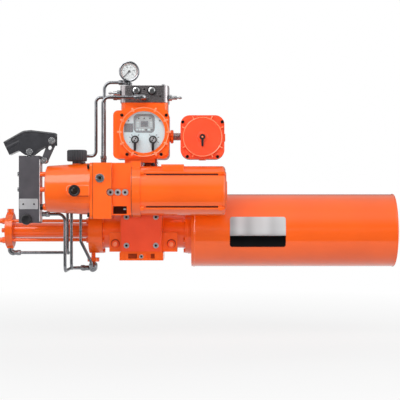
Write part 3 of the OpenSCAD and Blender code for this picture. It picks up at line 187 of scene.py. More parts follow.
# Polished chrome plate on the caps: almost a mirror
chrome_plate = surfaced("chrome_plate", "#D8DADC", "#ECEDEE", (0.06, 0.12), 40, 3.0, 0.002, metallic=1.0)
# Polished stainless of the gauge, darker than chrome
polished_stainless = surfaced(
    "polished_stainless", "#8A8B8F", "#9E9FA3", (0.14, 0.22), 20, 1.0, 0.003, metallic=1.0)
# Black-oxide socket screws: black with an oily gleam
black_oxide = surfaced("black_oxide_steel", "#101012", "#1C1C1E", (0.3, 0.42), 8, 0.8, 0.01, metallic=0.4)
# Machined cast iron inside the housing: mid grey, open grain
machined_iron = surfaced("machined_cast_iron", "#5C5D60", "#737579", (0.4, 0.55), 10, 0.7, 0.02, metallic=0.8)
# Turned bronze of the stem bushes
turned_bronze = surfaced("turned_bronze", "#9A7336", "#B88D48", (0.28, 0.4), 14, 0.7, 0.01, metallic=1.0)
# Oiled spring wire: dark and wet
oiled_wire = surfaced("oiled_spring_wire", "#2E2F32", "#44464A", (0.3, 0.42), 25, 1.2, 0.01, metallic=0.85)
# Milled aluminium of the pump's small plate, its cutter lines drawn as coarse as shows at this size
machined_aluminium = surfaced("machined_aluminium", "#A9A9AC", "#C4C4C6", (0.34, 0.46), 18, 1.6, 0.01,
                              metallic=0.35, stretch=(1, 1, 0.08))
# Fly-cut aluminium of the pump's side, almost matt, painted paler than the milled one as painted light on a
# face that the lamps hardly reach
pale_aluminium_painted_light = surfaced(
    "pale_aluminium_painted_light", "#E4E5E8", "#F2F3F5", (0.4, 0.52), 18, 1.6, 0.01, metallic=0.1)
# Silver polyester plate, its colour drawn in soft slanting pale bands: painted sheen
silver_foil = surfaced("silver_foil_plate", "#96979A", "#D6D7D8", (0.3, 0.36), 44, 3.0, 0.002, metallic=0.15,
                       stretch=(1, 0.02, 0.02), turn=(0, -0.42, 0), detail=0.0)
# Solid black print on the lower half of that plate
black_print = surfaced("black_print", "#020203", "#060607", (0.3, 0.4), 30, 1.2, 0.003, shine=0.12)
# Printed polyester film of the control panel: pale and even
panel_film = surfaced("printed_panel_film", "#BECFD4", "#CCDCE0", (0.42, 0.52), 60, 1.0, 0.004)
# Dark grey on the sloped walls round the display: painted shade
painted_shade_grey = surfaced("grey_plastic_painted_shade", "#63676B", "#707478", (0.4, 0.5), 30, 1.0, 0.01)
# Film behind the display, painted greyer as the shade of the pocket's rim
pocket_film_painted_shade = surfaced("printed_film_painted_shade", "#969D9F", "#A2A9AA", (0.4, 0.5), 40, 1.0, 0.004)
# Screen print in a mid and in a dark grey: flat and matt
grey_print = surfaced("grey_screen_print", "#55555B", "#606066", (0.45, 0.55), 40, 1.0, 0.004)
dark_print = surfaced("dark_screen_print", "#2C2D31", "#383A3E", (0.45, 0.55), 40, 1.0, 0.004)
# Reflective liquid-crystal glass of the display
display_glass = surfaced("liquid_crystal_glass", "#5F636A", "#6C7078", (0.12, 0.18), 14, 2.0, 0.002)
# Matt white enamel of the gauge dial, and the faded red of its band
dial_enamel = surfaced("white_dial_enamel", "#CDD1D2", "#D9DCDC", (0.5, 0.6), 40, 1.0, 0.003)
red_print = surfaced("red_dial_print", "#B5705E", "#C07C69", (0.5, 0.6), 20, 1.0, 0.003)
# Oil seen through the sight glass: almost black, with the gloss of the glass
oil_behind_glass = surfaced("oil_behind_glass", "#1A1512", "#2A211B", (0.06, 0.1), 14, 4.0, 0.002)
# Float glass: clear and smooth, so that only its gloss is seen
float_glass, tree = new_material("float_glass")
glass = {"Base Color": linear("#FFFFFF"), "Roughness": 0.03, "IOR": 1.5, "Alpha": 0.06}
add(tree, "OutputMaterial", {"Surface": add(tree, "BsdfPrincipled", glass)})


# Meshes from arrays


def rows_to_faces(nu, nv):
    """Quads of an nu by nv grid of points that closes round along its second index."""
    i, j = np.meshgrid(np.arange(nu - 1), np.arange(nv), indexing="ij")
    i2, j2 = i + 1, (j + 1) % nv
    return np.stack([i * nv + j, i2 * nv + j, i2 * nv + j2, i * nv + j2], -1).reshape(-1, 4)


def make_piece(name, points, faces, material, body="frame", replaced=None, turn=True):
    """Mesh object at the origin from points in millimetres, riding on a body and its node."""
    mesh = bpy.data.meshes.new(name)
    points = (np.asarray(points).reshape(-1, 3) * MM).tolist()
    mesh.from_pydata(points, [], [list(map(int, f)) for f in faces])
    bm = bmesh.new()
    bm.from_mesh(mesh)
    bmesh.ops.remove_doubles(bm, verts=bm.verts, dist=SAME_POINT)
    bmesh.ops.dissolve_degenerate(bm, edges=bm.edges, dist=NO_LENGTH)
    if turn:
        bmesh.ops.recalc_face_normals(bm, faces=bm.faces)
    bm.to_mesh(mesh)
    bm.free()
    mesh.shade_smooth()
    mesh.set_sharp_from_angle(angle=SHARP_EDGE)
    mesh.materials.append(material)
    piece = bpy.data.objects.new(name, mesh)
    bpy.context.collection.objects.link(piece)
    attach(piece, body)
    if replaced:
        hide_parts(replaced)
    return piece


def gather(name, grids, material, body="frame", replaced=None, slot=None):
    """One piece from several grids of points, each closed round along its second index."""
    grids = [np.asarray(g, float) for g in grids]
    starts = np.cumsum([0] + [g.shape[0] * g.shape[1] for g in grids])
    faces = [rows_to_faces(*g.shape[:2]) + s for g, s in zip(grids, starts)]
    points = np.concatenate([g.reshape(-1, 3) for g in grids])
    return make_piece(name, points, np.concatenate(faces), material, body, replaced)


def unit(v):
    """Vectors of length 1: each divided by the root of the sum of its squares."""
    return v / np.linalg.norm(v, axis=-1, keepdims=True)


def round_angles(n):
    """n angles, even round a full turn."""
    return np.linspace(0, 2 * np.pi, n, endpoint=False)


def axis_frame(direction):
    """Unit vector along a direction and two square to it and to each other, the first as level as can be."""
    d = unit(np.asarray(direction, float))
    side = np.cross(UP, d)
    side = unit(side) if side.any() else np.array(RIGHT, float)
    return d, side, np.cross(d, side)


def turned(profile, at, direction=BACK, n=48, ripple=None):
    """Solid of revolution: point = at + d*z + r*(cos a*e1 + sin a*e2) for each (r, z) of the profile.

    ripple, if given, is a function of the angle and the profile index that scales the radius.
    The angle takes n steps along the second index.
    """
    d, e1, e2 = axis_frame(direction)
    profile = np.asarray(profile, float)
    a = round_angles(n)[None, :]
    r = np.broadcast_to(profile[:, :1], (len(profile), n))
    if ripple is not None:
        r = r * ripple(a, np.arange(len(profile))[:, None])
    ring = np.cos(a)[..., None] * e1 + np.sin(a)[..., None] * e2
    return np.asarray(at, float) + profile[:, 1, None, None] * d + r[..., None] * ring


def lathe(name, profile, places, material, direction=BACK, n=48, ripple=None, **riding):
    """One piece of like turned solids, one at each place; riding is its body and replaced node, and a slot,
    which is not used.
    """
    grids = [turned(profile, at, direction, n, ripple) for at in np.atleast_2d(places)]
    return gather(name, grids, material, **riding)


def rounded_route(corners, r, steps=9):
    """Route with each corner replaced by an arc of radius r.

    The arc's centre lies on the bisector at r/sin(half angle), and its points turn evenly from one leg
    to the next.
    """
    p = np.asarray(corners, float)
    t = np.linspace(0, 1, steps)[:, None]
    out = [p[:1]]
    for before, here, after in zip(p[:-2], p[1:-1], p[2:]):
        u, v = unit(before - here), unit(after - here)
        half = math.acos(np.clip(u @ v, -1, 1)) / 2
        centre = here + unit(u + v) * r / math.sin(half)
        first, last = (here + leg * r / math.tan(half) - centre for leg in (u, v))
        turn = math.acos(np.clip(first @ last / r**2, -1, 1))
        out.append(centre + (np.sin((1 - t) * turn) * first + np.sin(t * turn) * last) / math.sin(turn))
    out.append(p[-1:])
    return np.concatenate(out)


def capped(rings):
    """Stack of closed rings with each end drawn in to its middle, so that the form is closed."""
    rings = np.asarray(rings, float)
    ends = [np.broadcast_to(rings[k].mean(0), rings[k].shape)[None] for k in (0, -1)]
    return np.concatenate([ends[0], rings, ends[1]])


def swept(path, r, n=20):
    """Round tube along a path: each ring lies in the plane square to the path at its point.

    The first direction in that plane is square to a slanting one that no tube runs along.
    """
    path = np.asarray(path, float)
    t = unit(np.gradient(path, axis=0))
    e1 = unit(np.cross(t, (0.31, 0.52, 0.79)))
    e2 = np.cross(t, e1)
    a = round_angles(n)[:, None]
    return capped(path[:, None] + r * (np.cos(a) * e1[:, None] + np.sin(a) * e2[:, None]))


def bar(start, end, across, half_width, half_height, tip=1.0, n=56):
    """Bar with rounded edges and ends from one point to another.

    Each section is a rounded square, from the signed roots of cos and sin. It is half_width wide along
    across and half_height deep square to it. The sections narrow evenly to tip of the width, and as a
    quarter circle over each end.
    """
    start, end, across = (np.asarray(v, float) for v in (start, end, across))
    length = np.linalg.norm(end - start)
    way = (end - start) / length
    up = np.cross(way, across)
    a = np.linspace(0.15, np.pi / 2, 5)
    r = min(half_width, half_height)
    s = np.concatenate([r * (1 - np.cos(a)), length - r * (1 - np.cos(a[::-1]))])
    inset = (r * (1 - np.concatenate([np.sin(a), np.sin(a[::-1])])))[:, None]
    b = round_angles(n)
    c, d = signed_root(np.cos(b)), signed_root(np.sin(b))
    wide = half_width * (1 - (1 - tip) * s / length)[:, None] - inset
    deep = half_height - inset
    middle = (start + s[:, None] * way)[:, None]
    return capped(middle + (wide * c)[..., None] * across + (deep * d)[..., None] * up)


def outline_round(w, h, r, n=10):
    """Rounded rectangle as points in a plane: four quarter circles joined by straight sides.

    r is one radius, or four from the top right corner anticlockwise.
    """
    radii = np.broadcast_to(np.asarray(r, float), 4)[:, None]
    middles = np.array([[1, 1], [-1, 1], [-1, -1], [1, -1]]) * (np.array([w, h]) / 2 - radii)
    a = np.linspace(0, np.pi / 2, n) + np.arange(4)[:, None] * np.pi / 2
    arcs = np.stack([np.cos(a), np.sin(a)], -1)
    return (middles[:, None] + radii[:, None] * arcs).reshape(-1, 2)


def facing(levels, at, axis=1):
    """Stack of flat rings square to Y, or to X where axis is 0: each level is an outline and its place."""
    return np.stack([np.insert(outline + at, axis, place, 1) for outline, place in levels])


def slab(w, h, r, at, y_back, y_front, edge):
    """Plate square to Y with a rounded outline, whose front edge is bevelled by edge."""
    outer = outline_round(w, h, r)
    inner = outline_round(w - 2 * edge, h - 2 * edge, np.maximum(np.asarray(r) - edge, 0.05))
    bevel = math.copysign(edge, y_back - y_front)
    return capped(facing([(outer, y_back), (outer, y_front + bevel), (inner, y_front)], at))


def flat_marks(name, quads, y_front, y_back, material, body="frame"):
    """Raised print: every quad of (x, z) corners is drawn out from y_back to y_front as a low block."""
    q = np.asarray(quads, float)
    points = np.concatenate([np.insert(q, 1, y, -1) for y in (y_front, y_back)], 1)
    one = np.array([[0, 1, 2, 3], [7, 6, 5, 4], [1, 0, 4, 5], [2, 1, 5, 6], [3, 2, 6, 7], [0, 3, 7, 4]])
    faces = (one + 8 * np.arange(len(q))[:, None, None]).reshape(-1, 4)
    return make_piece(name, points, faces, material, body)


def upright_quads(rows):
    """Quads with level and upright sides, each row a lower left corner (x, z) and a width and height."""
    rows = np.asarray(rows, float)[:, None]
    return rows[..., :2] + rows[..., 2:] * [(0, 0), (1, 0), (1, 1), (0, 1)]


def radial_quads(at, angles, r_in, r_out, width):
    """Quads like the marks of a clock: each runs from r_in to r_out at its angle, width across."""
    a, r_in, r_out, width = np.broadcast_arrays(np.radians(angles), r_in, r_out, width)
    d = np.stack([np.cos(a), np.sin(a)], -1)
    n = np.stack([-d[:, 1], d[:, 0]], -1) * width[:, None] / 2
    near, far = d * r_in[:, None], d * r_out[:, None]
    return np.asarray(at) + np.stack([near - n, far - n, far + n, near + n], 1)


def signed_root(v):
    """Root of each value's size, with the value's sign."""
    return np.sign(v) * np.abs(v) ** 0.5


def ribs(count, depth):
    """Radius factor of a ribbed rim: 1 less depth times half of 1 plus the signed root of cos(count*a)."""
    return lambda a: 1 - depth * (0.5 + 0.5 * signed_root(np.cos(count * a)))


def hexagon(a):
    """Radius factor of a hexagon with a corner at 0: cos 30 over the cosine of the angle off a flat."""
    return math.cos(math.pi / 6) / np.cos(a % (math.pi / 3) - math.pi / 6)


def on_rows(first, last, rim=hexagon):
    """Ripple that holds only for profile points first to last."""
    return lambda a, k: np.where((k >= first) & (k <= last), rim(a), 1.0)


# CAD nodes: materials and softened edges


def soften(o, width):
    """Rounds an object's sharp edges by a width in millimetres, as casting and breaking of edges do."""
    o.modifiers.new("join", "WELD").merge_threshold = 2 * SAME_POINT
    flat = o.modifiers.new("flats", "DECIMATE")
    flat.decimate_type = "DISSOLVE"
    flat.angle_limit = math.radians(0.6)
    bevel = o.modifiers.new("edges", "BEVEL")
    bevel.width = width * MM
    bevel.segments = 3
    bevel.limit_method = "ANGLE"
    bevel.angle_limit = math.radians(38)
    bevel.harden_normals = False
    o.modifiers.new("normals", "WEIGHTED_NORMAL").keep_sharp = False


def read_all(rows, field, kind, width=1):
    """One field of all rows of a mesh, as an array with width values to a row."""
    values = np.empty(len(rows) * width, kind)
    rows.foreach_get(field, values)
    return values.reshape(-1, width)


def parted(node, width, shares):
    """Copies a CAD node's separate solids into pieces, sorted by where the middle of each solid's box lies.

    Points that lie together are merged. Every point then takes the lowest number among the points that it
    shares a triangle with, again and again until nothing changes, so that each solid ends with one number.
    """
    mesh = nodes[node].data
    points = np.round(read_all(mesh.vertices, "co", np.float32, 3) / MM, 3)
    points, merged = np.unique(points, axis=0, return_inverse=True)
    tris = merged.reshape(-1)[read_all(mesh.loops, "vertex_index", np.int32)].reshape(-1, 3)
    tris = tris[(tris != np.roll(tris, 1, 1)).all(1)]
    number, before = np.arange(len(points)), None
    while before is None or (number != before).any():
        before = number.copy()
        np.minimum.at(number, tris.ravel(), np.repeat(number[tris].min(1), 3))
        number = number[number]
    low, high = np.full_like(points, np.inf), np.full_like(points, -np.inf)
    np.minimum.at(low, number, points)
    np.maximum.at(high, number, points)
    solid = number[tris[:, 0]]
    middle = (low[solid] + high[solid]) / 2
    left = np.ones(len(tris), bool)
    for name, material, slot, keep in shares:
        mask = left & keep(*middle.T)
        left &= ~mask
        used, faces = np.unique(tris[mask], return_inverse=True)
        faces = faces.reshape(-1, 3)
        soften(make_piece(name, points[used], faces, material, "frame", node, turn=False), width)


# Each CAD node's finish, and how wide its edges are softened
for finish, widths in (
    (casting_enamel, dict(yoke_housing=2.5, cylinder_head=2, cylinder_end_cap=3, manifold_block=2,
                          reservoir=3, motor_adapter=2.5, motor_end_cover=1.5, control_pedestal=2,
                          control_housing=4, control_cover=3, junction_box=3)),
    (smooth_enamel, dict(cylinder_barrel=0, cylinder_tie_rods=0.8, spring_can=1.5, spring_can_flange=2,
                         motor_housing=2, motor_tie_bolts=0.7)),
    (cover_enamel, dict(front_cover=2, junction_cover=3)),
    (black_enamel, dict(hand_pump_lever=6)),
    (grey_enamel, dict(hand_pump_link=1)),
    (anthracite_enamel, dict(hand_pump_body=1.5)),
    (black_nylon, dict(gauge_pointer=0)),
    (phosphated_steel, dict(top_manifold=1.2)),
    (zinc_plate, dict(guide_bar=0, motor_bearings=0, bleed_valves=0.6, hand_pump_pins=0.8, hand_pump_piston=0,
                      drive_rod=0, drive_pin=0, feedback_shaft=0, motor_rotor=0, pump_drive_gear=0,
                      pump_idler_gear=0)),
    (drawn_stainless, dict(upper_tubes=0)),
    (machined_iron, dict(motor_stator=0, yoke=0, guide_block=0, piston=0, spring_plate=0)),
    (turned_bronze, dict(stem_bushes=0)),
    (panel_film, dict(control_panel=0)),
    (dial_enamel, dict(gauge_dial=0)),
    (float_glass, dict(glass_windows=0)),
):
    for name, width in widths.items():
        finishes = nodes[name].data.materials
        finishes.clear()
        finishes.append(finish)
        if width:
            soften(nodes[name], width)

# Fasteners in their own finishes: painted over, plated or blacked
everywhere = lambda x, y, z: np.ones(len(x), bool)
parted("hex_bolts", 0.7, [
    ("pump_bolts", zinc_plate, "zinc_steel", lambda x, y, z: (x < -300) & (y < -60)),
    ("pedestal_bolts", zinc_plate, "zinc_steel", lambda x, y, z: (z > 150) & (np.abs(x) < 100)),
    ("painted_hex_bolts", smooth_enamel, "orange_paint", everywhere),
])
parted("cap_screws", 0.6, [
    ("box_cover_screws", black_oxide, "dark_steel", lambda x, y, z: z > 320),
    ("reservoir_flange_screws", black_oxide, "dark_steel", lambda x, y, z: x < -125),
    ("plated_cap_screws", bright_zinc, "zinc_steel", everywhere),
])
# Dark hexagons on the plated screw heads stand for their sockets: painted shade
sockets = [((x, -89, z), 4.4) for x in (-47.5, 47.5) for z in (49, 141)]
sockets += [((x, -212, 220), 4.8) for x in (-90, -67, -44)] + [((0, -78, 13), 3.2)]
gather("screw_socket_shade", [turned([(0, 0.4), (r, 0.4), (r, -0.3), (0, -0.3)], at, ripple=on_rows(1, 2))
                         for at, r in sockets], black_oxide)
parted("hex_plugs", 0.6, [
    ("painted_vent_plug", smooth_enamel, "orange_paint", lambda x, y, z: x < -300),
    ("manifold_top_plug", zinc_plate, "dark_steel", lambda x, y, z: z > 500),
    ("block_plug", zinc_plate, "dark_steel", everywhere),
])


# The spring can: the bare two-tone plate, its rolled edges and the spring inside
PLATE_START, PLATE_END = 287.0, 468.0


def can_plate(name, z_low, z_high, corner, rounded, material):
    """Thin plate bent round the can: at angle t from the front, y = ROD_Y - R cos t and z = ROD_Z + R sin t.

    Each column of points goes up its front and down its back. Near the two ends, the edge that rounded names
    draws back along a quarter circle of radius corner.
    """
    a = np.linspace(0, np.pi / 2, 9)
    inset = corner * (1 - np.cos(a))
    x = np.concatenate([PLATE_START + inset, PLATE_END - inset[::-1]])[:, None]
    drop = corner * (1 - np.concatenate([np.sin(a), np.sin(a[::-1])]))[:, None]
    low = z_low + drop * (rounded == "bottom")
    high = z_high - drop * (rounded == "top")
    t = np.arcsin((low + (high - low) * np.linspace(0, 1, 20) - ROD_Z) / CAN_R)
    rings = np.concatenate([np.stack([x + 0 * t, ROD_Y - r * np.cos(t), ROD_Z + r * np.sin(t)], -1)
                            for r, t in ((CAN_R + 1.0, t), (CAN_R - 0.4, t[:, ::-1]))], 1)
    columns, n = rings.shape[:2]
    ends = [list(range(n)), list(range(columns * n - n, columns * n))]
    make_piece(name, rings, rows_to_faces(columns, n).tolist() + ends, material)


can_plate("plate_upper", 83.6, 141, 8, "top", silver_foil)
can_plate("plate_line", 80.3, 83.3, 0.3, "bottom", bright_zinc)
can_plate("plate_lower", 44, 80, 8, "bottom", black_print)

bead = np.array([(-2, -3), (0.6, -3), (1.4, -1.8), (1.4, 1.2), (0.4, 2.6), (-2, 2.6), (-2, -3)]) + (CAN_R, 0)
lathe("rolled_can_edges", bead, [(x, ROD_Y, ROD_Z) for x in (CAN_START + 9.5, CAN_END - 2.8)],
      smooth_enamel, RIGHT, 144)


def coil(start, end, r, wire, turns):
    """Round wire wound about the rod: its middle turns evenly at radius r from start to end along X.

    Each ring of the wire lies between the radius there and the direction square to both radius and wire.
    """
    a = np.linspace(0, 2 * np.pi * turns, 36 * turns + 1)
    out = np.stack([np.zeros_like(a), np.cos(a), np.sin(a)], -1)
    along = np.stack([np.full_like(a, (end - start) / a[-1]), -r * np.sin(a), r * np.cos(a)], -1)
    up = np.cross(unit(along), out)
    middle = np.stack([np.linspace(start, end, len(a)), ROD_Y + r * out[:, 1], ROD_Z + r * out[:, 2]], -1)
    b = round_angles(12)[:, None]
    return capped(middle[:, None] + wire / 2 * (np.cos(b) * out[:, None] + np.sin(b) * up[:, None]))


# The spring stands on the can's end and is pressed together by the plate on the rod
WIRE = 16
spring = gather("coil_spring", [coil(SPRING_START + WIRE / 2, SPRING_END - WIRE / 2, 85, WIRE, 13)],
                oiled_wire, replaced="spring")
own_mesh(spring)


# Power unit: filler cap, release knob, sight glass, plug and pump fittings
cap_profile = [(0, 0.3), (14.6, 0.3), (14.6, 7), (29, 7), (30.6, 8.4), (31.5, 12), (31.5, 38.4), (30.9, 40.6),
               (29.6, 41.6), (28.8, 42.4), (27.4, 43), (0, 43)]
lathe("ribbed_filler_cap", cap_profile, (FILLER_X, POWER_Y, FILLER_Z), weathered_nylon, UP, 416,
      on_rows(4, 7, ribs(26, 0.045)), body="cap_body", replaced="filler_cap")
knob_profile = [(0, 18), (5, 18), (5, -1), (15, -1), (17, -2.5), (17, -13), (15.5, -16.5), (12.5, -18),
                (9, -17.2), (0, -17)]
lathe("grooved_release_knob", knob_profile, (-353, PUMP_FRONT, 135), black_nylon, BACK, 240,
      on_rows(4, 6, ribs(20, 0.07)), body="release_body", replaced="release_knob")

# Flat pad that carries the sight glass on the round reservoir, with a pale painted highlight along its top
# and left edges and a brown painted shadow beneath
gather("sight_pad", [slab(70.2, 32.8, (0.8, 10, 10, 0.8), (-188.5, POWER_Z), -238, -247, 1.5)],
       casting_enamel)
pad_highlight_route = rounded_route([(-223, -246.4, 224), (-223, -246.4, 240.8), (-155, -246.4, 240.8)], 9.5)
gather("sight_pad_painted_highlight", [swept(pad_highlight_route, 1.3)], painted_highlight_enamel)
gather("sight_pad_painted_shadow", [swept([(x, -245.4, 208.4) for x in (-206, -180, -155)], 1.4)], painted_shade_brown)
sight = (FILLER_X, SIGHT_FRONT, POWER_Z)
sight_profile = [(0, 8), (12.8, 8), (12.8, 0), (18, 0), (18, -5.5), (16.8, -7.6), (14.5, -8), (12, -6.5),
                 (11, -4), (0, -4)]
lathe("sight_glass_bezel", sight_profile, sight, black_nylon, n=72, replaced="sight_glass")
lathe("sight_glass_lens", [(0, -3.8), (10.8, -3.8), (10.4, -5.0), (7, -6.2), (3, -6.8), (0, -6.9)], sight,
      oil_behind_glass, n=72)

# The plug in the block is a plated rim round a socket painted dark as its shade
plug_socket = [(0, 0.4), (9.4, 0.4), (9.4, -4.2), (8.6, -5.2), (7.2, -5.3), (6.6, -2.0), (0, -2.0)]
lathe("block_plug_socket_shade", plug_socket, (-121, BLOCK_FRONT, POWER_Z + 39), black_oxide, n=72)

# The pump's bare plate and rivets, its machined side painted pale as painted light, and the sleeves that hold
# it off the reservoir
gather("pump_plate", [slab(59, 33, 3.5, (-347.3, 183.5), PUMP_FRONT + 0.2, PUMP_FRONT - 1.2, 0.4)],
       machined_aluminium)
lathe("pump_plate_rivets", [(0, 0.2), (2.7, 0.2), (2.7, -0.4), (2.0, -1.3), (0, -1.7)],
      [(x, PUMP_FRONT - 1.2, 183) for x in (-364, -330)], black_oxide, n=24)
side = outline_round(66, 196, 2.5)
side_levels = [(side, PUMP_RIGHT - 0.2), (side, PUMP_RIGHT + 1.0), (side * 0.992, PUMP_RIGHT + 1.4)]
gather("machined_pump_side", [capped(facing(side_levels, (POWER_Y, 226), 0))], pale_aluminium_painted_light)
lathe("pump_spacer_sleeves", [(4.3, 0), (7.6, 0), (7.6, 20), (4.3, 20), (4.3, 0)],
      [(PUMP_RIGHT, POWER_Y + y, z) for y in (-22, 22) for z in (229, 277)], casting_enamel, RIGHT, 36)

# Union that lets oil from the reservoir into the pump
suction = (PUMP_RIGHT, -184, 174)
lathe("suction_union", [(0, -0.5), (9, -0.5), (10.5, 1), (10.5, 9), (9.4, 10.5), (0, 10.5)], suction,
      black_oxide, RIGHT, ripple=on_rows(2, 3))
lathe("suction_boss", [(0, 10), (8.4, 10), (11, 13), (12, 24), (0, 24)], suction, casting_enamel, RIGHT)

# Fibre gaskets between reservoir, block and motor adapter
joint = outline_round(140.7, 175.7, 3)
gather("reservoir_gasket", [capped(facing([(joint, -143.8), (joint, -142.4)], (POWER_Y, POWER_Z), 0))],
       black_nylon)
lathe("adapter_gasket", [(60, 2.4), (84.5, 2.4), (84.5, 3.8), (60, 3.8), (60, 2.4)],
      (-26, POWER_Y, POWER_Z), black_nylon, RIGHT, 120)

# Dark strips along the motor beside its tie bolts: painted shadow of the bolts
SHADOW_STRIP_R = 78
shadow_strips = []
for front in (1, -1):
    for a in np.radians((40, -40)):
        y, z = POWER_Y - front * SHADOW_STRIP_R * math.cos(a), POWER_Z + SHADOW_STRIP_R * math.sin(a)
        shadow_strips.append(bar((22, y, z), (248, y, z), (0, front * math.sin(a), math.cos(a)), 3.2, 0.6))
gather("motor_tie_bolt_shadows", shadow_strips, painted_shade_dark)

# The block's recess lined in dark painted shade, the bolt in it, and the motor's pad for its terminals
wall, floor = outline_round(41.8, 23.8, 0.6), outline_round(40.8, 22.8, 0.5)
recess_shade_levels = [(wall, -178.1), (wall, -209.4), (floor, -209.4), (floor, -178.8)]
gather("recess_painted_shade", [capped(facing(recess_shade_levels, (-60, 164.5)))], painted_shade_dark)
recess_bolt = (-45, -204, 176)
lathe("recess_bolt", [(0, 0), (4.6, 0), (4.6, -7), (0, -7)], recess_bolt, black_oxide, UP, 32)
lathe("recess_bolt_nut", [(0, -6.6), (5.4, -6.6), (5.4, -10), (4.6, -11), (0, -11)], recess_bolt,
      bright_zinc, UP, ripple=on_rows(1, 2))
gather("terminal_pad", [slab(69, 38, 3, (106.3, 286), -150, -218, 2)], casting_enamel)

# Rolled edges along the top of the pressed lever, and the heads of the pin that joins link and pump
for side, y in (("front", POWER_Y - LEVER_HALF), ("rear", POWER_Y + LEVER_HALF)):
    edge = rounded_route([(-424, y, 376.4), (-366, y, 409.2), (-343, y, 411.5), (-267, y, 402.4)], 26)
    gather(f"{side}_lever_edge", [swept(edge, 5.0)], black_enamel, "lever_body")
pin_head = [(0, 0.4), (9.6, 0.4), (10, 0), (10, -2.4), (8.8, -3.8), (0, -4.2)]
pin_heads = [turned(pin_head, (LINK_X, POWER_Y - s * LINK_HALF, LINK_Z), (0, s, 0)) for s in (1, -1)]
gather("link_pin_heads", pin_heads, zinc_plate, "link_body")

# Stop bolts in the housing's lugs: a brown ring set high behind the washer as painted shadow, the washer in
# the redder enamel as painted shade, and the end of the stud in front of the head in pale enamel as painted
# highlight
stop_bolts = [(-86.5, -40, 52), (96.5, -40, 52)]
lathe("stop_bolt_painted_shadows", [(7, 0.2), (14.6, 0.2), (14.6, -0.5), (7, -0.5), (7, 0.2)],
      np.add(stop_bolts, (0, 0, 1.9)), painted_shade_brown)
lathe("stop_bolt_washers", [(7, 0.2), (12.6, 0.2), (12.6, -1.8), (11.8, -2.6), (7, -2.6), (7, 0.2)],
      stop_bolts, cover_enamel, slot="orange_paint")
lathe("stop_bolt_studs", [(0, -8), (7, -8), (7, -14.5), (5.6, -16), (0, -16.4)], stop_bolts, painted_highlight_enamel)

# Floors of the pockets in the valve flange, painted brown as shade
pockets = [slab(w, 15.4, 1.5, (x, 14), -62.8, -64, 0.4) for x, w in ((-28.5, 28), (36.4, 12))]
gather("flange_pocket_painted_shade", pockets, painted_shade_brown)

# Inspection covers at the back of the yoke housing and of the control box, each with its socket screws
rear_boss = [(0, 0.4), (46, 0.4), (46, -2.2), (44.4, -3.6), (0, -3.6)]
rear_screw = [(0, 0.4), (5.5, 0.4), (5.5, -4.2), (4.9, -4.8), (3.4, -4.8), (3.0, -2.6), (0, -2.6)]
rear_screws = []
for name, x, z, w, h, back, thick, bosses in (
    ("rear_yoke_cover", 0, 94, 112, 112, HOUSING_BACK, 5.0, [rear_boss]),
    ("rear_control_cover", 1, 405, 138, 116, CONTROL_BACK, 4.0, []),
):
    face = back + thick
    plates = [slab(w, h, 9, (x, z), back - 0.4, face, 1.2)]
    plates += [turned(boss, (x, face, z), FORWARD, 96) for boss in bosses]
    gather(name, plates, casting_enamel)
    rear_screws += [turned(rear_screw, (x + sx * (w / 2 - 10), face, z + sz * (h / 2 - 10)), FORWARD, 36)
                    for sx in (-1, 1) for sz in (-1, 1)]
gather("rear_cover_screws", rear_screws, black_oxide)

# Bearing boss and cast ring on the motor's end cover
bearing_boss = [(0, -0.4), (31, -0.4), (31, 3.4), (28.6, 5.6), (12, 5.6), (10.4, 4.0), (0, 4.0)]
cast_ring = [(52, -0.4), (60, -0.4), (59, 1.8), (57.4, 2.6), (54.6, 2.6), (53, 1.8), (52, -0.4)]
gather("motor_end_boss", [turned(bearing_boss, MOTOR_END, RIGHT, 96),
                          turned(cast_ring, MOTOR_END, RIGHT, 120)], casting_enamel)

# Cable gland, earth stud and seat bolt under the control box
lathe("cable_gland", [(0, 1), (5.2, 1), (5.2, -5), (6.6, -5), (6.6, -11.5), (5.4, -13), (0, -13)],
      (38.5, -82, 316), black_nylon, UP)
stud_profile = [(0, 1), (4, 1), (4, -8), (6, -8), (6, -13), (4.6, -13), (4.6, -24), (3.8, -25), (0, -25)]
lathe("earth_stud", stud_profile, (51.5, -82, 328), zinc_plate, UP)
seat = (3, -88, 316)
seat_head = turned([(0, 1), (7, 1), (7, -6), (6, -7.5), (0, -7.5)], seat, UP, ripple=on_rows(1, 3))
seat_end = turned([(0, -7), (4, -7), (4, -13), (3.4, -13.6), (0, -13.6)], seat, UP, 32)
gather("seat_bolt", [seat_head, seat_end], zinc_plate)

# Chrome caps on the top manifold, each on a black sealing ring, and two small stop screws in its face
cap_faces = [(x, TOP_FRONT, 546) for x in (-14, 36)]
chrome_profile = [(0, 14), (9, 14), (9, 0), (10.6, 0), (11.4, -2), (11.4, -8), (10.2, -10.6), (7.4, -11.8),
                  (0, -12.2)]
lathe("chrome_caps", chrome_profile, cap_faces, chrome_plate, n=72, replaced="manifold_caps")
lathe("cap_seals", [(10.2, 0), (14.5, 0), (14.5, -4.4), (13, -6), (10.2, -6), (10.2, 0)], cap_faces,
      black_nylon, n=72)
lathe("manifold_stop_screws", [(0, 1), (2.8, 1), (2.8, -0.3), (2.3, -0.7), (0, -0.7)],
      [(12, TOP_FRONT, 550), (62.5, TOP_FRONT, 528)], black_oxide, n=24)


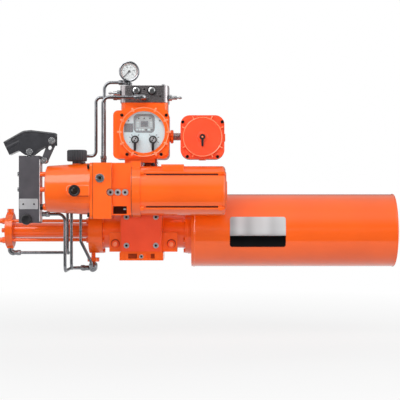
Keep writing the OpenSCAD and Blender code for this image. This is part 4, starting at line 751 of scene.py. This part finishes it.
# Lower tubes: the CAD has them with square corners, here the fourth slopes to its port as a bent tube does
lower_routes = [
    ([(-419, 45, 20.5), (-245, 45, 20.5), (-245, -22, 20.5), (-245, -22, 255), (-113, -22, 255),
      (-113, -82, 255)], 22),
    ([(-302, -138, 151), (-240, -138, 151), (-240, -138, -31), (-240, 45, -31), (-191.5, 45, -31)], 22),
    ([(-93, -82, 195), (-93, -50, 195), (-229, -50, 195), (-229, -50, -28), (-229, 13, -28),
      (-191.5, 13, -28)], 20),
    ([(-129, -82, 225), (-129, -35, 225), (-200, -35, 225), (-200, -35, 61), (-165.5, -35, -8),
      (-165.5, -35, -25), (-165.5, -7, -25)], 11),
]
gather("bent_lower_tubes", [swept(rounded_route(corners, r), 5.0) for corners, r in lower_routes],
       drawn_stainless, replaced="lower_tubes")


def compression_fitting(at, direction, body=12, size=1):
    """Hexagon body and hexagon nut on one axis, the nut chamfered at both ends and drawn in to the tube."""
    rows = [(0, -0.4, 0), (7, -0.4, 0)]
    if body:
        rows += [(8.6, 0.8, 1), (8.6, body - 1, 1), (7, body - 0.4, 0)]
    nut = [(8.2, 0, 0), (10, 1.8, 1), (10, 10.4, 1), (8.8, 12, 0), (6.4, 14, 0), (0, 14, 0)]
    r, z, hexed = np.array(rows + [(r, body + z, six) for r, z, six in nut], float).T
    ripple = lambda a, k: np.where(hexed[k] > 0, hexagon(a), 1.0)
    return turned(np.stack([r * size, z], -1), at, direction, ripple=ripple)


fittings = [compression_fitting(*row) for row in (
    ((-58, STEM_Y, TEE_Z), LEFT, 0, 0.9), ((-117, -105, 312.5), UP, 12, 0.72),
    ((-119, -148, 312.5), UP, 12, 0.72), ((2, ELBOW_Y, ELBOW_Z), LEFT, 8), ((-66, -70, 528), LEFT),
    ((-185, -120, 305), UP, 0, 0.9), ((-431, 45, 20.5), RIGHT, 10), ((-113, -94, 255), BACK),
    ((-93, -94, 195), BACK), ((-129, -94, 225), BACK), ((-314, -138, 151), RIGHT),
    ((-179.5, 45, -31), LEFT), ((-179.5, 13, -28), LEFT), ((-165.5, 5, -25), FORWARD))]
elbows = [swept(rounded_route(route, 9.5), r) for route, r in (
    ([(ELBOW_X, -119.5, ELBOW_Z), (ELBOW_X, ELBOW_Y, ELBOW_Z), (1, ELBOW_Y, ELBOW_Z)], 9),
    ([(-442, 45, 36), (-442, 45, 20.5), (-430, 45, 20.5)], 9.4))]
port_block = [bar((-165.5, 32, -8), (-165.5, 32, -43), RIGHT, 14, 27)]
for name, grids in (("compression_fittings", fittings), ("port_elbows", elbows), ("port_block", port_block)):
    gather(name, grids, turned_stainless, replaced="tube_fittings")
lathe("elbow_base_nut", [(0, 0.2), (11.5, 0.2), (11.5, -5), (10, -6.5), (0, -6.5)],
      (ELBOW_X, TOP_FRONT, ELBOW_Z), turned_stainless, ripple=on_rows(1, 2))


# Pressure gauge: case, stem, bezel, printed scale and numbers
gauge = (GAUGE_X, GAUGE_FRONT, GAUGE_Z)
case_profile = [(0, 28), (28, 28), (31, 26.4), (32, 23.5), (32, 0), (29.2, 0), (29.2, 10), (0, 10)]
stem_rows = [(0, 562.6), (7, 562.6), (7, 565), (9.4, 565), (9.4, 571.5), (8, 573), (6, 573.5), (6, 579),
             (0, 579)]
tee_rows = [(0, 0), (5.6, 0), (5.6, 9), (8.4, 9), (8.4, 19.5), (7, 21.2), (0, 21.2)]
bezel_profile = np.array([(-0.3, 9), (0.6, 9), (0.6, 1), (-0.2, -0.9), (-2, -1.6), (-4.6, -0.6), (-5.4, 2.6),
                          (-2.6, 2.6), (-2.6, 9), (-0.3, 9)]) + (GAUGE_R, 0)
lathe("gauge_body", case_profile, gauge, polished_stainless, n=96, replaced="gauge_case")
gather("gauge_stem", [turned(stem_rows, (GAUGE_X, STEM_Y, 0), UP, ripple=on_rows(3, 4)),
                      turned(tee_rows, (GAUGE_X, STEM_Y, TEE_Z), LEFT, ripple=on_rows(3, 4))],
       turned_stainless, replaced="gauge_case")
lathe("gauge_bezel", bezel_profile, gauge, polished_stainless, n=96)

# The scale runs through SWEEP degrees from SCALE_START, anticlockwise from the right, in 50 steps
SCALE_START, SWEEP = 225, 270
scale_at = (GAUGE_X, GAUGE_Z)
steps = np.arange(51)
tens, fives = steps % 10 == 0, steps % 5 == 0
mark_start = np.where(tens, 19.5, np.where(fives, 21, 22.3))
scale = radial_quads(scale_at, SCALE_START - SWEEP * steps / 50, mark_start, 24.4, np.where(tens, 0.8, 0.45))
flat_marks("gauge_scale", scale, DIAL_FACE - 0.12, DIAL_FACE + 0.05, dark_print)
band = radial_quads(scale_at, SCALE_START - SWEEP * (np.arange(54) + 0.5) / 54, 24.6, 26.0, 2.3)
flat_marks("gauge_band", band, DIAL_FACE - 0.1, DIAL_FACE + 0.05, red_print)

# Its numbers: each is set in Blender's own font, made a mesh, and moved to its angle
NUMBER_R, NUMBER_SIZE = 15.2, 5.4
points, faces, start = [], [], 0
for word, angle in zip(("0", "50", "100", "150", "200", "250"), SCALE_START - SWEEP / 5 * np.arange(6)):
    curve = bpy.data.curves.new("number", "FONT")
    curve.body, curve.size, curve.align_x, curve.align_y = word, NUMBER_SIZE, "CENTER", "CENTER"
    curve.extrude, curve.resolution_u = 0.06, 3
    holder = bpy.data.objects.new("number", curve)
    bpy.context.collection.objects.link(holder)
    mesh = bpy.data.meshes.new_from_object(holder.evaluated_get(bpy.context.evaluated_depsgraph_get()))
    x, z, y = read_all(mesh.vertices, "co", np.float32, 3).T
    a = math.radians(angle)
    points.append(np.stack([GAUGE_X + NUMBER_R * math.cos(a) + x, DIAL_FACE - 0.06 - y,
                            GAUGE_Z + NUMBER_R * math.sin(a) + z], -1))
    corners = start + read_all(mesh.loops, "vertex_index", np.int32).ravel()
    faces += np.split(corners, read_all(mesh.polygons, "loop_start", np.int32).ravel()[1:])
    start += len(x)
    bpy.data.objects.remove(holder)
    bpy.data.curves.remove(curve)
    bpy.data.meshes.remove(mesh)
make_piece("gauge_numbers", np.concatenate(points), faces, dark_print)


# Control head and junction box: cover ribs and rims, display, keys, selectors, switch


def rim_bars(at, angles, start, end, half_depth, half_width):
    """Bars on a round cover, at angles from its top.

    start and end are distances from the cover's middle, out along the radius and then along the rim.
    """
    grids = []
    for a in np.radians(angles):
        out, along = np.array([math.sin(a), 0, math.cos(a)]), np.array([math.cos(a), 0, -math.sin(a)])
        ends = [np.asarray(at) + r * out + s * along for r, s in (start, end)]
        grids.append(bar(*ends, BACK, half_depth, half_width))
    return grids


control_rim = (DIAL_X, COVER_FRONT + 1.2, DIAL_Z)
junction_rim = (JUNCTION_X, JUNCTION_DISC + 2.4, JUNCTION_Z)
control_angles = (27, 62, 90, 118, 152, 208, 242, 270, 298, 333)
junction_angles = (26, 64, 119, 153, 207, 241, 296, 334)
control_ribs = rim_bars(control_rim, control_angles, (71, 0), (86, 0), 3.6, 3.4)
junction_ribs = rim_bars(junction_rim, junction_angles, (60, 0), (74, 0), 3.6, 2.0)
# The ribs and rims are in pale enamel: painted highlight
gather("control_cover_ribs", control_ribs, painted_highlight_enamel)
gather("junction_cover_ribs", junction_ribs, painted_highlight_enamel)
rim = np.array([(-4.2, 0.4), (-4.0, -0.9), (-2.6, -1.6), (-1.4, -0.9), (-1.2, 0.4), (-4.2, 0.4)])
junction = (JUNCTION_X, JUNCTION_DISC, JUNCTION_Z)
lathe("control_cover_rim", rim + (COVER_R, 0), (DIAL_X, COVER_FRONT, DIAL_Z), painted_highlight_enamel, n=120)
lathe("junction_cover_rim", rim + (JUNCTION_R, 0), junction, painted_highlight_enamel, n=120, slot="cover_paint")
# Black bars on the rim stand for the shade in its slots: painted shade
gather("cover_slots_painted_shade", rim_bars(control_rim, (157, 201), (75.5, -7.5), (75.5, 7.5), 1.6, 2.4), black_oxide)
lathe("switch_boss", [(9.4, 0.3), (17, 0.3), (17, -0.5), (16.2, -1.0), (9.4, -1.0), (9.4, 0.3)], junction,
      cover_enamel, n=72)

# The display in its pocket, whose sloped walls and film are painted darker as shade, with keys below and
# lamps above
display = (DIAL_X, DIAL_Z + 28)
shade = outline_round(67.6, 59.6, 13.8)
pocket = [(shade, PANEL_FRONT - 0.1), (outline_round(66.8, 58.8, 13.4), PANEL_FRONT - 0.35),
          (outline_round(54, 46, (17, 17, 6, 6)), PANEL_POCKET - 0.5),
          (outline_round(53.4, 45.4, (16.7, 16.7, 5.7, 5.7)), PANEL_POCKET - 0.1),
          (shade, PANEL_POCKET - 0.1), (shade, PANEL_FRONT - 0.1)]
gather("display_shade", [facing(pocket, display)], painted_shade_grey)
gather("display_field", [slab(58, 50, 9, display, PANEL_POCKET + 0.1, PANEL_POCKET - 0.3, 0.1)],
       pocket_film_painted_shade)
gather("display_window", [slab(24, 18.4, 1.2, (12.9, 438.4), PANEL_POCKET - 0.2, PANEL_POCKET - 0.9, 0.3)],
       display_glass)
digit = [(0, 0, 3.6, 0.8), (0, 7.2, 3.6, 0.8), (0, 0.9, 0.8, 6.2), (2.8, 0.9, 0.8, 6.2)]
segments = upright_quads([(4 + 6 * i + x, 434.4 + z, w, h) for i in range(3) for x, z, w, h in digit])
flat_marks("display_segments", segments, PANEL_POCKET - 1.0, PANEL_POCKET - 0.8, dark_print)
dome = [(0, 0.3), (2.9, 0.3), (2.9, -0.7), (2.2, -1.4), (0, -1.8)]
for name, places, material, slot in (("panel_keys", (-11, -2, 7, 27), panel_film, "pale_plastic"),
                                     ("panel_dark_keys", (18, 36), dark_print, "black_plastic")):
    lathe(name, dome, [(x, PANEL_POCKET - 0.3, 420.2) for x in places], material, n=28, slot=slot)
lathe("panel_lamps", [(0, 0.3), (2.6, 0.3), (2.6, -0.5), (1.8, -1.2), (0, -1.5)],
      [(x, PANEL_POCKET - 0.3, 456.5) for x in (-5.5, 12.3, 30.2)], black_oxide, n=28, slot="black_plastic")
legends = upright_quads([(x, z, 8, 2.2) for x in (-12.5, 29.5) for z in (431, 437, 443)])
flat_marks("display_legends", legends, PANEL_POCKET - 0.42, PANEL_POCKET - 0.28, panel_film)

# The panel beside it: screws, a printed patch and the marks round the selectors
lathe("panel_screws", [(0, 0.3), (2.4, 0.3), (2.4, -0.4), (1.8, -0.9), (0, -0.9)],
      [(x, PANEL_FRONT, 448.5) for x in (-37.8, 62)], dark_print, n=24)
gather("panel_patch", [slab(28.5, 28.3, 0.8, (-37.4, 426), PANEL_FRONT + 0.1, PANEL_FRONT - 0.35, 0.15)],
       grey_print)
selector_x = [DIAL_X - SELECTOR_OFFSET, DIAL_X + SELECTOR_OFFSET]
marks = np.concatenate([radial_quads((x, SELECTOR_Z), angles, 15.5, 21.0, 2.2) for x, angles in
                        zip(selector_x, ((55, 125, 155, 205), (55, 125, 25, -25)))])
flat_marks("selector_marks", marks, PANEL_FRONT - 0.3, PANEL_FRONT + 0.1, grey_print)

# Selectors: a ribbed knob with a pointer bar, a plated hub, and a black bar across the hub as the painted
# shade of its slot. These profiles give y itself
knob_head = [(0, -133), (3.9, -133), (3.9, -141.2), (11.8, -141.2), (13, -142.4), (13, -150.6),
             (12.4, -153.4), (11, -154.4), (9.2, -153.2), (8.8, -151.4), (0, -151.4)]
hub_head = [(0, -151.0), (8.2, -151.0), (8.2, -152.8), (7.2, -153.8), (0, -154.1)]
for node, x in zip(("left_selector", "right_selector"), selector_x):
    body = f"{node}_body"
    knob = turned(knob_head, (x, 0, SELECTOR_Z), BACK, 96, on_rows(4, 6, ribs(12, 0.05)))
    pointer = bar((x, -152, SELECTOR_Z - 7), (x, -152, SELECTOR_Z - 36), RIGHT, 4.5, 3.0, 0.82)
    gather(f"{node}_knob", [knob, pointer], black_nylon, body, node)
    lathe(f"{node}_hub", hub_head, (x, 0, SELECTOR_Z), bright_zinc, body=body)
    slot_quads = radial_quads((x, SELECTOR_Z), (60, 240), 1.0, 7.0, 3.4)
    flat_marks(f"{node}_slot", slot_quads, -154.3, -153.4, black_oxide, body)

# The junction box's switch, made in the same way
switch = (JUNCTION_X, 0, JUNCTION_Z)
switch_head = [(0, -85), (4.9, -85), (4.9, -104.2), (8.2, -104.2), (9, -105), (9, -112.4), (8, -113.8),
               (4.8, -113.8), (3.4, -112.6), (3.2, -109), (0, -109)]
switch_bar = [(JUNCTION_X, -110.4, JUNCTION_Z - drop) for drop in (5.5, 31)]
gather("switch_lever", [turned(switch_head, switch, n=72), bar(*switch_bar, RIGHT, 4.0, 3.3, 0.78)],
       black_nylon, "switch_body", "junction_switch")
# Its screw is in the pale enamel: a painted highlight
lathe("switch_screw", [(0, -108.8), (3.1, -108.8), (3.1, -112.2), (2.6, -113), (0, -113.2)], switch,
      painted_highlight_enamel, n=36, body="switch_body", slot="cover_paint")


# Conduit: a threaded nipple to the junction box, and a painted flange on the control box
PITCH = 2.4
length = np.linspace(12, 37, 81)
thread = np.stack([12.0 + 0.55 * np.cos(2 * np.pi * length / PITCH), length], -1).tolist()
nipple = [(8.5, -9), (12.4, -9), (12.4, 10.5), *thread, (12.4, 37.5), (12.4, 46), (8.5, 46), (8.5, -9)]
flange = [(12.5, 0.2), (17, 0.2), (17, 4), (20.6, 4), (22, 5.4), (22, 11.6), (20.4, 13.4), (16, 14),
          (12.5, 14), (12.5, 0.2)]
lathe("threaded_conduit_nipple", nipple, CONDUIT, zinc_plate, RIGHT, 72, replaced="conduit_nipple")
lathe("conduit_flange", flange, CONDUIT, casting_enamel, RIGHT, 72)


# Camera, light and ground, in metres
camera = bpy.data.objects.new("camera", bpy.data.cameras.new("camera"))
camera.location = (0.190, -3.960, 0.196)
camera.rotation_euler = (math.pi / 2, 0, 0)
camera.data.lens = 108
camera.data.sensor_width = 36
bpy.context.collection.objects.link(camera)
bpy.context.scene.camera = camera


def softbox(name, at, look, size, watts, mirrored=True):
    """Area light that faces a point. Where mirrored is false, it lights surfaces unseen in their gloss."""
    lamp = bpy.data.lights.new(name, "AREA")
    lamp.shape = "RECTANGLE"
    lamp.size, lamp.size_y = size
    lamp.energy = watts
    o = bpy.data.objects.new(name, lamp)
    bpy.context.collection.objects.link(o)
    o.location = at
    x, y, z = np.subtract(look, at)
    o.rotation_euler = (math.atan2(math.hypot(x, y), -z), 0, math.atan2(y, x) - math.pi / 2)
    o.visible_glossy = mirrored


softbox("left_key", (-0.95, -1.6, 2.0), (-0.15, -0.1, 0.2), (1.4, 1.5), 24)
softbox("broad_front", (0.2, -2.4, 2.4), (0.15, 0, 0.15), (2.8, 1.8), 34, mirrored=False)
softbox("low_front", (0.2, -3.4, 0.3), (0.2, 0, 0.15), (2.4, 0.7), 42, mirrored=False)
softbox("left_strip", (-2.0, -3.1, 0.4), (0, 0, 0.35), (0.5, 1.6), 5)
softbox("right_strip", (2.6, -0.9, 0.5), (0.1, 0, 0.35), (0.6, 1.6), 14)
softbox("rear_softbox", (0.3, 2.6, 1.8), (0.2, 0, 0.2), (2.2, 1.4), 40, mirrored=False)

# The world is white to the eye. In gloss it is dark on the camera's side and behind, white at both sides and
# pale above. A Map Range's inputs in order are the value, its range, and the range that it is put on
WHITE, AMBIENT = (1, 1, 1, 1), 0.2
world = bpy.data.worlds.new("studio")
bpy.context.scene.world = world
world.use_nodes = True
sky = world.node_tree
sky.nodes.clear()
ray = add(sky, "LightPath").outputs
way = add(sky, "SeparateXYZ", [add(sky, "TexCoord").outputs["Generated"]]).outputs
front_half = add(sky, "MapRange", [way["Y"], -1.0, 0.0, 0.09, 0.4])
rear_half = add(sky, "MapRange", [way["Y"], 0.0, 0.5, 1.0, 0.5])
above = add(sky, "MapRange", [way["Z"], 0.25, 0.8, 0.0, 0.5])
aside = add(sky, "MapRange", [add(sky, "Math", [way["X"]], operation="ABSOLUTE"), 0.35, 0.85, 0.0, 1.6])
around = add(sky, "Math", [front_half, aside], operation="ADD")
gloss = add(sky, "Math", [around, rear_half, above], operation="MULTIPLY_ADD")
ambient = add(sky, "Mix", {"Factor": ray["Is Glossy Ray"], "A": AMBIENT, "B": gloss}, data_type="FLOAT")
seen = add(sky, "Math", [ray["Is Camera Ray"], ray["Is Transmission Ray"]], operation="MAXIMUM")
level = add(sky, "Mix", {"Factor": seen, "A": ambient, "B": 1.0}, data_type="FLOAT")
light = add(sky, "Background", {"Color": WHITE, "Strength": level})
add(sky, "OutputWorld", {"Surface": light})

# White paper under the part. It keeps the shadow near the part and runs out into the white world.
# In gloss it is a white table that ends a little in front of the part
REACH, GROUND_Z = 8, -0.257
ground = bpy.data.objects.new("ground", bpy.data.meshes.new("ground"))
corners = [(x * REACH, y * REACH, GROUND_Z) for x, y in ((-1, -1), (1, -1), (1, 1), (-1, 1))]
ground.data.from_pydata(corners, [], [(0, 1, 2, 3)])
bpy.context.collection.objects.link(ground)
paper, tree = new_material("white_studio_paper")
ray = add(tree, "LightPath").outputs
where = add(tree, "TexCoord").outputs["Object"]
table = add(tree, "MapRange", [add(tree, "SeparateXYZ", [where]).outputs["Y"], -0.57, -0.54, 0.12, 0.85])
away = add(tree, "VectorMath", [where], operation="LENGTH").outputs["Value"]
share = add(tree, "MapRange", [away, 0.7, 2.2, 0.82, 1.0])
eye = add(tree, "Math", [ray["Is Camera Ray"], ray["Is Transmission Ray"]], operation="MAXIMUM")
white_part = add(tree, "Math", [eye, share], operation="MULTIPLY")
mirror_part = add(tree, "Math", [white_part, ray["Is Glossy Ray"]], operation="MAXIMUM")
strength = add(tree, "Mix", {"Factor": ray["Is Glossy Ray"], "A": 1.0, "B": table}, data_type="FLOAT")
matt = add(tree, "BsdfDiffuse", {"Color": (0.55, 0.55, 0.55, 1)})
white = add(tree, "Emission", {"Color": WHITE, "Strength": strength})
add(tree, "OutputMaterial", {"Surface": add(tree, "MixShader", [mirror_part, matt, white])})
ground.data.materials.append(paper)

bpy.context.scene.view_settings.view_transform = "Standard"
